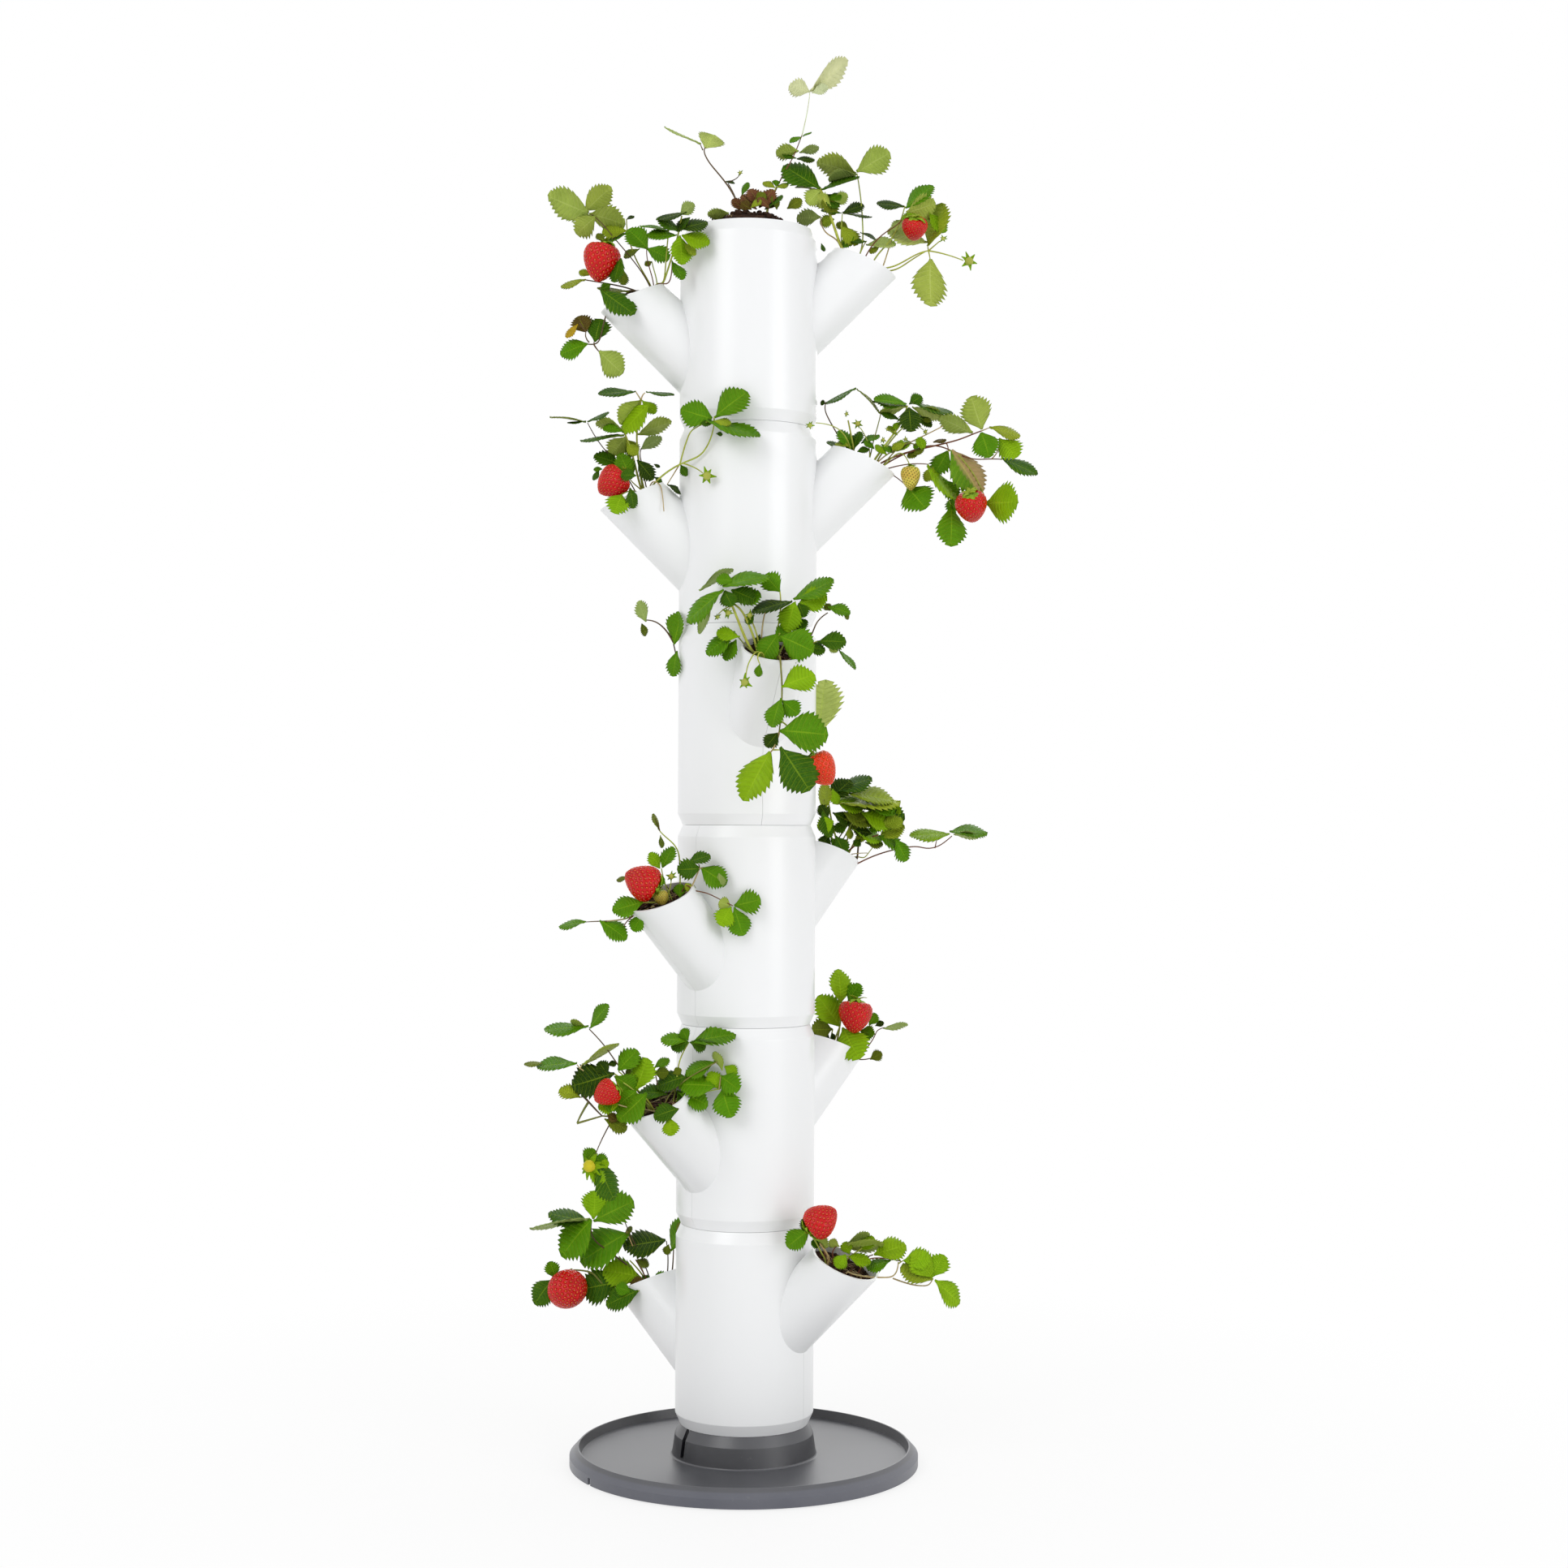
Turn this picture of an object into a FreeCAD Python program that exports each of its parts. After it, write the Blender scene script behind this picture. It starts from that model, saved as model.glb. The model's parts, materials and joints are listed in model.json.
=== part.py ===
import FreeCAD, Part
import math
import os
import re
import Sketcher
from FreeCAD import Vector

# A planter tower: six like tiers stacked on a round drip tray, each a tube with two slanted pockets.
# Millimetres and degrees, +Z up, with the origin on the tower's axis at the floor.
# Each tier is two moulded halves round its soil, seated by a spigot in the rim below, so it can turn.

DIMENSIONS = [
    ("tier_pitch", 200.0, "height that each tier adds"),
    ("tube_radius", 69.5, "outside of the tier's tube"),
    ("wall", 2.5, "moulded wall of tube, pockets and ring"),
    ("seam_radius", 64.5, "outside at the narrow seam between tiers"),
    ("shoulder_height", 11.5, "height of the sloped shoulder at each end of a tier"),
    ("shoulder_round", 1.5, "rounding between shoulder and tube"),
    ("seam_gap", 0.3, "running gap between stacked tiers"),
    ("neck_land", 5.0, "straight bore at a rim, which centres the spigot"),
    ("spigot_clearance", 0.4, "radial gap between spigot and rim"),
    ("spigot_wall", 2.0, "wall of the spigot"),
    ("spigot_length", 12.0, "depth that the spigot reaches into the rim below"),
    ("floor_shelf", 3.0, "height of the shelf that carries the drip floor"),
    ("pocket_radius", 33.0, "outside of a pocket's round tube"),
    ("pocket_stand", 47.5, "how far the centre of a pocket's mouth stands out from the tube's wall"),
    ("pocket_rise", 45.0, "slope of a pocket above level"),
    ("pocket_depth", 125.0, "length of a pocket's bore behind its mouth"),
    ("mouth_slope", 24.0, "fall of the mouth's rim, outwards"),
    ("high_mouth", 171.0, "height of the high pocket's mouth in its tier"),
    ("low_mouth", 130.4, "height of the low pocket's mouth in its tier"),
    ("split_gap", 0.25, "parting gap between a tier's two halves"),
    ("low_front_ear", 24.0, "height of the joining ears under the high pocket"),
    ("high_front_ear", 58.0, "and of the second one there"),
    ("low_back_ear", 20.0, "height of the ear under the low pocket"),
    ("high_back_ear", 165.0, "and of the one above that pocket"),
    ("ear_width", 5.0, "size of a joining ear, along the wall and across it"),
    ("ear_reach", 7.0, "how far an ear stands in from the wall"),
    ("pin_radius", 1.5, "pin that locates the halves"),
    ("pin_length", 4.0, "length of that pin past the parting face"),
    ("pin_clearance", 0.15, "radial gap round the pin"),
    ("disc_clearance", 0.4, "radial gap round the drip floor"),
    ("disc_thickness", 2.0, "plate of the drip floor"),
    ("disc_dish", 4.0, "how far the drip floor dips"),
    ("dip_margin", 6.6, "gap between that dip and the spigot's bore"),
    ("drip_hole_radius", 2.5, "hole in the drip floor"),
    ("inner_drip_circle", 16.0, "circle of the inner drip holes"),
    ("outer_drip_margin", 9.0, "outer drip holes' circle to the edge of the dip's bottom"),
    ("soil_clearance", 0.3, "gap between soil and what holds it"),
    ("soil_level", 8.0, "soil surface below a pocket's rim"),
    ("soil_top", 184.0, "soil surface inside a stacked tier"),
    ("mound_height", 17.0, "middle of the top tier's soil above its rim"),
    ("mound_radius", 42.0, "foot of that mound"),
    ("rim_depth", 3.0, "soil below the top rim, outside the mound"),
    ("tray_radius", 175.0, "outside of the tray's skirt"),
    ("tray_height", 19.3, "top of the tray's rim"),
    ("tray_wall", 2.5, "moulded wall of the tray"),
    ("tray_floor", 10.5, "top of the tray's floor"),
    ("skirt_height", 10.7, "top of the upright skirt"),
    ("rim_radius", 167.0, "outer edge of the tray's top"),
    ("rim_land", 1.5, "flat top of the tray's rim"),
    ("basin_radius", 163.0, "outer edge of the basin's floor"),
    ("pad_thickness", 1.5, "non-slip pad under a boss"),
    ("pad_radius", 6.0, "radius of that pad"),
    ("boss_radius", 7.5, "boss that carries a pad"),
    ("outer_pad_circle", 150.0, "circle of the outer pads"),
    ("inner_pad_circle", 66.0, "circle of the pads under the socket ring"),
    ("ring_top", 41.5, "top of the tray's socket ring, where the tower stands"),
    ("ring_shoulder", 10.3, "height of the ring's sloped shoulder"),
    ("ring_foot_radius", 72.5, "outside of the ring at the tray's floor"),
    ("ring_foot_round", 2.0, "fillet round the ring's foot"),
    ("drain_width", 6.0, "slot that drains the ring into the basin"),
    ("drain_sill", 3.5, "height of that slot's sill above the floor"),
    ("drain_angle", 31.0, "bearing of the slots and of the notches in the skirt"),
    ("notch_width", 5.0, "notch in the skirt"),
    ("notch_height", 7.0, "height of that notch above the skirt's edge"),
    ("tier1_turn", -32.0, "bearing of the high pocket, lowest tier"),
    ("tier2_turn", 41.0, "second tier"),
    ("tier3_turn", 44.0, "third tier"),
    ("tier4_turn", -77.0, "fourth tier"),
    ("tier5_turn", 6.0, "fifth tier"),
    ("tier6_turn", 4.0, "top tier"),
]
TIERS = 6
OUTER_PADS = 6
INNER_PADS = 4
INNER_DRIPS = 8
OUTER_DRIPS = 16
# Worked out from those: the tower's axis to the centre of a mouth, and the flat bottom of a drip floor's dip.
REACH = "(tube_radius + pocket_stand)"
DIP = "(seam_radius - wall - spigot_clearance - spigot_wall - dip_margin - 2 * disc_dish)"
EARS = {"low_front_ear": 0, "high_front_ear": 0, "low_back_ear": 180, "high_back_ear": 180}

# Plant parts in millimetres: a stalk's radius, a leaf's thickness, the radii and height of a crown, the gap
# under a crown, the room that a stalk leaves over a pocket's rim, and the least room that a joint of
# leaflets leaves in front of the tube.
STALK = 1.2
BLADE = 1.2
CROWN = {"foot": 8.0, "tip": 4.5, "height": 14.0}
SEAT_GAP = 0.3
LIP_ROOM = 7.0
TUBE_ROOM = 8.0
# A berry from tip to top, as heights and radii in shares of its diameter.
BERRY = [(-0.5, 0.07), (-0.33, 0.27), (0.08, 0.48), (0.3, 0.43), (0.44, 0.2)]

# Each plant as it stands, measured from the centre of its pocket's mouth (the crown plant from the
# centre of the top rim): x to the right, y to the back, z up.
# A leaf is (x, y, z, heading, climb, length) from the point where its three leaflets meet.
# A berry is (x, y, z, diameter). A point listed under "via" is one that the stalk to that leaf passes.
PLANTS = {
    "tier6_plant_low": {
        "leaves": [(-48, -4, 87, 180, 10, 36), (9, -22, 54, -70, 10, 20), (41, -45, 68, -35, 15, 24),
                   (-26, -16, 14, 230, -5, 16), (-46, 2, -44, 190, -25, 24), (-30, 34, 60, 130, 20, 30)],
        "berries": [(-35, -12, 36, 38)],
        "via": {2: (24, -32, 40)},
    },
    "tier6_plant_high": {
        "leaves": [(-6, 6, 92, 10, 15, 30), (-40, -22, 74, 195, 5, 24), (-24, -24, 48, -60, 10, 16),
                   (36, 34, 22, 60, 10, 22), (54, -8, 58, 10, 10, 26), (66, -2, -4, 0, -70, 40),
                   (92, 6, 2, 0, 5, 16)],
        "berries": [(46, -12, 34, 26)],
        "via": {},
    },
    "crown_plant": {
        "leaves": [(56, 6, 120, 0, 30, 38), (-50, 4, 66, 170, 25, 30), (44, -14, 74, 30, 10, 15),
                   (18, -16, 26, -60, 10, 13), (-22, 22, 34, 120, 15, 20)],
        "berries": [],
        "via": {0: (26, 2, 52)},
    },
    "tier5_plant_low": {
        "leaves": [(7, 10, 98, 60, 5, 28), (-47, 4, 74, 180, 10, 34), (-8, -18, 70, 250, 5, 27),
                   (-8, -34, 40, 240, 0, 24), (76, -60, 80, -75, 15, 19), (-30, 36, 50, 140, 15, 28)],
        "berries": [(-24, -8, 16, 34)],
        "via": {4: (44, -34, 28)},
    },
    "tier5_plant_high": {
        "leaves": [(-8, 4, 68, 60, 5, 28), (45, -14, 54, -20, 5, 26), (92, 14, 36, 40, 10, 22),
                   (128, -4, 24, -10, -15, 34), (103, 24, 0, 40, -50, 26), (84, -18, -28, 250, -45, 24),
                   (94, -6, -56, 180, -70, 26), (22, 44, 40, 100, 15, 28)],
        "berries": [(112, 2, -44, 32), (46, -14, -18, 20)],
        "via": {},
    },
    "tier4_plant_high": {
        "leaves": [(-32, -8, 58, 195, 5, 32), (20, -14, 50, -10, 10, 28), (62, -6, 38, 20, 20, 18),
                   (58, -16, 4, -10, -5, 20), (6, -46, 10, -80, 0, 18), (-56, -24, 10, 215, 0, 20),
                   (-94, 14, 12, 170, 5, 26), (10, -58, -62, -60, -40, 30), (-14, -60, -98, 250, -75, 26),
                   (54, -52, -58, -70, -75, 24)],
        "berries": [(42, -58, -110, 30)],
        "via": {6: (-52, -2, 14)},
    },
    "tier4_plant_low": {
        "leaves": [(-6, 14, 66, 100, 15, 30), (34, 4, 48, 30, 10, 26), (-14, 30, 30, 130, 5, 28),
                   (30, 40, 20, 60, 0, 24), (0, 52, -40, 95, -50, 26)],
        "berries": [(8, 48, -4, 30)],
        "via": {},
    },
    "tier3_plant_low": {
        "leaves": [(2, -6, 32, 240, 5, 18), (-6, -10, 64, 200, 10, 14), (38, -8, 28, -50, 10, 20),
                   (68, -12, -8, -70, -5, 18), (-34, -28, -14, 230, -20, 20), (-64, -14, -22, 185, 0, 30)],
        "berries": [(-22, -10, 20, 32)],
        "via": {3: (46, -2, 22)},
    },
    "tier3_plant_high": {
        "leaves": [(8, -20, 50, 0, 30, 36), (22, -26, 40, 0, 5, 36), (50, 4, 32, 10, -5, 26),
                   (2, -34, 22, -60, 5, 15), (72, 2, 14, -10, -30, 22), (128, 6, 16, 0, 0, 34),
                   (10, 40, 40, 80, 15, 28)],
        "berries": [],
        "via": {5: (74, 4, 2)},
    },
    "tier2_plant_low": {
        "leaves": [(-66, 8, 70, 180, 10, 36), (-76, -10, 34, 185, 0, 46), (-42, -16, 22, 220, 0, 32),
                   (-14, -34, 18, 250, 10, 26), (28, -14, 56, -20, 15, 30), (60, -18, 28, -60, 5, 24),
                   (-46, -20, -24, 215, -50, 20), (-62, -24, -58, 200, -60, 30)],
        "berries": [(-44, -40, 6, 26)],
        "via": {5: (40, -16, 22)},
    },
    "tier2_plant_high": {
        "leaves": [(6, -20, 46, 20, 65, 34), (12, -34, 22, -40, -10, 24), (46, -6, 18, 10, 5, 26),
                   (48, -12, -8, 0, -30, 14), (10, 38, 44, 80, 15, 30), (46, 34, 22, 50, 0, 24)],
        "berries": [(28, -30, 34, 30)],
        "via": {},
    },
    "tier1_plant_low": {
        "leaves": [(-62, -10, 58, 180, 10, 42), (-56, -28, 36, 240, -5, 30), (14, -34, 40, 180, -5, 30),
                   (-16, -36, 16, 220, 0, 26), (-54, -24, -8, 240, -20, 22), (-30, 36, 40, 130, 15, 30)],
        "berries": [(-82, -6, -12, 38)],
        "via": {},
    },
    "tier1_plant_high": {
        "leaves": [(-46, -22, 24, 210, 0, 20), (2, -8, 20, 20, 0, 26), (48, -10, 4, 0, 5, 26),
                   (84, -8, -18, 0, -30, 30), (60, 14, -4, 60, -5, 24), (22, 40, 26, 90, 10, 24)],
        "berries": [(-24, -22, 34, 32)],
        "via": {},
    },
}

doc = FreeCAD.newDocument("PlanterTower")
sheet = doc.addObject("Spreadsheet::Sheet", "Dimensions")
for row, (alias, value, note) in enumerate(DIMENSIONS, start=1):
    sheet.set(f"A{row}", alias)
    sheet.set(f"B{row}", str(value))
    sheet.setAlias(f"B{row}", alias)
    sheet.set(f"C{row}", note)
doc.recompute()
ALIASES = {alias for alias, value, note in DIMENSIONS}


def bind(formula):
    """A formula in the sheet's own words, as an expression on its cells."""
    return re.sub(r"[a-z][a-z0-9_]*",
                  lambda word: f"Dimensions.{word.group()}" if word.group() in ALIASES else word.group(),
                  formula)


def size(alias):
    return float(sheet.get(alias))


def place(item, at=("0", "0", "0"), axis=(0, 0, 1), angle="0", shift=("0", "0", "0")):
    """Turn an object by angle about axis, stand it at a point, and shift it along its own turned axes."""
    spin = "rotation(vector({}; {}; {}); {})".format(*axis, angle)
    seat = "placement(vector({}; {}; {}); {})".format(*at, spin)
    offset = "placement(vector({}; {}; {}); rotation(vector(0; 0; 1); 0))".format(*shift)
    item.setExpression("Placement", bind(f"{seat} * {offset}"))
    return item


def cylinder(name, radius, height, **where):
    item = doc.addObject("Part::Cylinder", name)
    item.setExpression("Radius", bind(radius))
    item.setExpression("Height", bind(height))
    return place(item, **where)


def box(name, length, width, height, **where):
    item = doc.addObject("Part::Box", name)
    item.setExpression("Length", bind(length))
    item.setExpression("Width", bind(width))
    item.setExpression("Height", bind(height))
    return place(item, **where)


def join(name, items):
    """One solid from several that overlap."""
    item = doc.addObject("Part::MultiFuse", name)
    item.Shapes = items
    return item


def group(name, items):
    """Solids that stay separate under one name."""
    item = doc.addObject("Part::Compound", name)
    item.Links = items
    return item


def cut(name, base, tool):
    item = doc.addObject("Part::Cut", name)
    item.Base = base
    item.Tool = tool
    return item


def revolved(name, points):
    """A body turned about Z from a closed outline of (radius, height) formulas."""
    body = doc.addObject("PartDesign::Body", name)
    sketch = body.newObject("Sketcher::SketchObject", name + "_outline")
    upright = next(plane for plane in body.Origin.OriginFeatures if plane.Role == "XZ_Plane")
    sketch.AttachmentSupport = [(upright, "")]
    sketch.MapMode = "FlatFace"
    count = len(points)
    rough = [Vector(20 + 10 * math.cos(2 * math.pi * i / count), 10 * math.sin(2 * math.pi * i / count), 0)
             for i in range(count)]
    for i in range(count):
        sketch.addGeometry(Part.LineSegment(rough[i], rough[(i + 1) % count]))
    for i in range(count):
        sketch.addConstraint(Sketcher.Constraint("Coincident", i, 2, (i + 1) % count, 1))
    for i, (radius, height) in enumerate(points):
        across = sketch.addConstraint(Sketcher.Constraint("DistanceX", -1, 1, i, 1, rough[i].x))
        up = sketch.addConstraint(Sketcher.Constraint("DistanceY", -1, 1, i, 1, rough[i].y))
        sketch.setExpression(f"Constraints[{across}]", bind(radius))
        sketch.setExpression(f"Constraints[{up}]", bind(height))
    turn = body.newObject("PartDesign::Revolution", name + "_turned")
    turn.Profile = sketch
    turn.ReferenceAxis = (sketch, ["V_Axis"])
    turn.Angle = 360
    doc.recompute()
    return body


def rounded(body, name, radius, circles):
    """Round the body's circular edges that have the given (radius, height)."""
    base = body.Tip
    edges = [f"Edge{i}" for i, edge in enumerate(base.Shape.Edges, start=1)
             if isinstance(edge.Curve, Part.Circle)
             and any(abs(edge.Curve.Radius - r) < 0.01 and abs(edge.Curve.Center.z - z) < 0.01
                     for r, z in circles)]
    fillet = body.newObject("PartDesign::Fillet", name)
    fillet.Base = (base, edges)
    fillet.setExpression("Radius", bind(radius))
    body.Tip = fillet
    doc.recompute()
    return body


def drilled(body, name, circle, radius, count):
    """Drill a ring of like holes down through the body."""
    sketch = body.newObject("Sketcher::SketchObject", name + "_place")
    level = next(plane for plane in body.Origin.OriginFeatures if plane.Role == "XY_Plane")
    sketch.AttachmentSupport = [(level, "")]
    sketch.MapMode = "FlatFace"
    sketch.addGeometry(Part.Circle(Vector(10, 0, 0), Vector(0, 0, 1), 1))
    across = sketch.addConstraint(Sketcher.Constraint("DistanceX", -1, 1, 0, 3, 10))
    sketch.addConstraint(Sketcher.Constraint("PointOnObject", 0, 3, -1))
    wide = sketch.addConstraint(Sketcher.Constraint("Radius", 0, 1))
    sketch.setExpression(f"Constraints[{across}]", bind(circle))
    sketch.setExpression(f"Constraints[{wide}]", bind(radius))
    hole = body.newObject("PartDesign::Pocket", name)
    hole.Profile = sketch
    hole.Type = "ThroughAll"
    hole.Midplane = True
    ring = body.newObject("PartDesign::PolarPattern", name + "_ring")
    ring.Originals = [hole]
    ring.Axis = (sketch, ["N_Axis"])
    ring.Angle = 360
    ring.Occurrences = count
    body.Tip = ring
    doc.recompute()
    return body


def pad_places():
    """(circle, bearing) of every pad: one under the tower, one ring under the socket, one near the skirt."""
    inner = [("inner_pad_circle", 45 + 360 * i / INNER_PADS) for i in range(INNER_PADS)]
    outer = [("outer_pad_circle", 360 * i / OUTER_PADS) for i in range(OUTER_PADS)]
    return [("0", 0)] + inner + outer


def make_tray():
    plate = revolved("tray_plate", [
        ("0", "tray_floor - tray_wall"),
        ("basin_radius + tray_wall", "tray_floor - tray_wall"),
        ("rim_radius", "tray_floor + tray_wall"),
        ("tray_radius - 2 * tray_wall", "tray_floor + tray_wall"),
        ("tray_radius - tray_wall", "skirt_height - tray_wall / 2"),
        ("tray_radius - tray_wall", "pad_thickness"),
        ("tray_radius", "pad_thickness"),
        ("tray_radius", "skirt_height"),
        ("rim_radius", "tray_height"),
        ("rim_radius - rim_land", "tray_height"),
        ("basin_radius", "tray_floor"),
        ("ring_foot_radius", "tray_floor"),
        ("tube_radius", "ring_top - ring_shoulder"),
        ("seam_radius", "ring_top"),
        ("seam_radius - wall", "ring_top"),
        ("seam_radius - wall", "ring_top - neck_land"),
        ("tube_radius - wall", "ring_top - ring_shoulder - wall"),
        ("ring_foot_radius - wall", "tray_floor"),
        ("0", "tray_floor"),
    ])
    rounded(plate, "ring_foot", "ring_foot_round", [(size("ring_foot_radius"), size("tray_floor"))])
    bosses = [cylinder(f"boss_{i}", "boss_radius", "tray_floor - tray_wall / 2 - pad_thickness",
                       at=("0", "0", "pad_thickness"), angle=str(bearing), shift=(circle, "0", "0"))
              for i, (circle, bearing) in enumerate(pad_places())]
    drain = box("drain_slots", "2 * ring_foot_radius + 4", "drain_width", "ring_top",
                at=("0", "0", "tray_floor + drain_sill"), angle="drain_angle",
                shift=("-ring_foot_radius - 2", "-drain_width / 2", "0"))
    notches = [box(f"notch_{side}", "4 * tray_wall", "notch_width", "notch_height + pad_thickness",
                   angle=f"drain_angle + {side}", shift=("tray_radius - 2 * tray_wall", "-notch_width / 2", "0"))
               for side in (0, 180)]
    tray = cut("tray", join("tray_blank", [plate] + bosses), join("tray_openings", [drain] + notches))
    pads = [cylinder(f"pad_{i}", "pad_radius", "pad_thickness", angle=str(bearing), shift=(circle, "0", "0"))
            for i, (circle, bearing) in enumerate(pad_places())]
    return [tray, group("tray_pads", pads)]


def pocket_tube(name, mouth, side, radius, sunk=None):
    """A pocket's solid round tube: trimmed by its mouth's plane, or by one sunk below it along its normal.
    With sunk as None it runs on past the mouth, as the bore that opens it."""
    turn = "180" if side else "0"
    rod = cylinder(name, radius, "pocket_depth + 2 * pocket_radius")
    lean = "rotation(vector(0; 1; 0); 90 - pocket_rise)"
    back = f"placement(vector({REACH} - pocket_depth * cos(pocket_rise); 0; " \
           f"{mouth} - pocket_depth * sin(pocket_rise)); {lean})"
    facing = f"placement(vector(0; 0; 0); rotation(vector(0; 0; 1); {turn}))"
    rod.setExpression("Placement", bind(f"{facing} * {back}"))
    if sunk is None:
        return rod
    above = box(name + "_above", "8 * pocket_radius", "4 * pocket_radius", "4 * pocket_radius")
    fall = "rotation(vector(0; 1; 0); mouth_slope)"
    plane = f"placement(vector({REACH}; 0; {mouth}); {fall})"
    corner = f"placement(vector(-4 * pocket_radius; -2 * pocket_radius; -({sunk})); " \
             "rotation(vector(0; 0; 1); 0))"
    above.setExpression("Placement", bind(f"{facing} * {plane} * {corner}"))
    return cut(name + "_trimmed", rod, above)


def half_space(name, side, margin):
    """The part of the tier's space on one side of its parting plane, margin clear of it."""
    start = margin if side > 0 else f"-2 * {REACH} - {margin}"
    return box(name, f"4 * {REACH}", f"2 * {REACH}", "2 * tier_pitch",
               shift=(f"-2 * {REACH}", start, "-tier_pitch / 2"))


def ear_block(name, height, bearing, side, spare="0"):
    """The block of a joining ear on one side of the parting plane, or both sides where side is 0."""
    start = {1: "split_gap / 2", -1: "-ear_width", 0: f"-ear_width - {spare}"}[side]
    width = {1: "ear_width - split_gap / 2", -1: "ear_width - split_gap / 2",
             0: f"2 * (ear_width + {spare})"}[side]
    return box(name, f"ear_reach + wall / 2 + {spare}", width, f"2 * (ear_width + {spare})",
               at=("0", "0", height), angle=str(bearing),
               shift=(f"tube_radius - wall - ear_reach - {spare}", start, f"-ear_width - {spare}"))


def ear_pin(name, height, bearing, radius, length):
    """A pin across the parting plane, from the pin half's ear into the socket half's."""
    bar = cylinder(name, radius, f"{length} + ear_width / 2")
    facing = f"placement(vector(0; 0; {height}); rotation(vector(0; 0; 1); {bearing}))"
    sense = "1" if bearing == 0 else "-1"
    root = "placement(vector(tube_radius - wall - ear_reach / 2; " \
           f"-{sense} * ear_width / 2; 0); rotation(vector(1; 0; 0); -90 * {sense}))"
    bar.setExpression("Placement", bind(f"{facing} * {root}"))
    return bar


def make_shell():
    """One tier's moulding, whole, and then its two halves, parted through both pockets."""
    tube = revolved("tube_blank", [
        ("0", "-spigot_length"),
        ("seam_radius - wall - spigot_clearance", "-spigot_length"),
        ("seam_radius - wall - spigot_clearance", "seam_gap"),
        ("seam_radius", "seam_gap"),
        ("tube_radius", "shoulder_height"),
        ("tube_radius", "tier_pitch - shoulder_height"),
        ("seam_radius", "tier_pitch"),
        ("0", "tier_pitch"),
    ])
    rounded(tube, "shoulders", "shoulder_round",
            [(size("tube_radius"), size("shoulder_height")),
             (size("tube_radius"), size("tier_pitch") - size("shoulder_height"))])
    cavity = revolved("tube_cavity", [
        ("0", "-spigot_length - 1"),
        ("seam_radius - wall - spigot_clearance - spigot_wall", "-spigot_length - 1"),
        ("seam_radius - wall - spigot_clearance - spigot_wall", "floor_shelf"),
        ("seam_radius - wall / 2", "floor_shelf"),
        ("tube_radius - wall", "shoulder_height"),
        ("tube_radius - wall", "tier_pitch - shoulder_height - wall"),
        ("seam_radius - wall", "tier_pitch - neck_land"),
        ("seam_radius - wall", "tier_pitch + 1"),
        ("0", "tier_pitch + 1"),
    ])
    outside = join("shell_outside", [tube, pocket_tube("high_pocket", "high_mouth", 0, "pocket_radius", "0"),
                                     pocket_tube("low_pocket", "low_mouth", 1, "pocket_radius", "0")])
    inside = join("shell_inside", [cavity,
                                   pocket_tube("high_bore", "high_mouth", 0, "pocket_radius - wall"),
                                   pocket_tube("low_bore", "low_mouth", 1, "pocket_radius - wall")])
    whole = cut("shell_whole", outside, inside)
    halves = []
    for half, side in (("pin_half", -1), ("socket_half", 1)):
        trimmed = doc.addObject("Part::Common", half + "_wall")
        trimmed.Base = whole
        trimmed.Tool = half_space(half + "_side", side, "split_gap / 2")
        ears, pins, sockets = [], [], []
        for ear, bearing in EARS.items():
            local = side if bearing == 0 else -side
            ears.append(ear_block(f"{half}_{ear}", ear, bearing, local))
            if side < 0:
                pins.append(ear_pin(f"{ear}_pin", ear, bearing, "pin_radius", "pin_length"))
            else:
                sockets.append(ear_pin(f"{ear}_socket", ear, bearing, "pin_radius + pin_clearance",
                                       "ear_width + 1"))
        solid = join(half + "_shell", [trimmed] + ears + pins)
        halves.append(cut(half + "_drilled", solid, join("sockets", sockets)) if sockets else solid)
    return halves


def make_drip_floor():
    """The dished, drilled plate that carries a tier's soil when it is lifted off."""
    rim_bottom = "floor_shelf"
    dip = f"{rim_bottom} - disc_dish"
    slope_end = f"{DIP} + 2 * disc_dish"
    edge = "seam_radius - wall / 2 - disc_clearance"
    plate = revolved("drip_plate", [
        ("0", dip), (DIP, dip), (slope_end, rim_bottom), (edge, rim_bottom),
        (edge, f"{rim_bottom} + disc_thickness"), (slope_end, f"{rim_bottom} + disc_thickness"),
        (DIP, f"{dip} + disc_thickness"), ("0", f"{dip} + disc_thickness"),
    ])
    drilled(plate, "inner_drips", "inner_drip_circle", "drip_hole_radius", INNER_DRIPS)
    return drilled(plate, "outer_drips", f"{DIP} - outer_drip_margin", "drip_hole_radius", OUTER_DRIPS)


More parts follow.
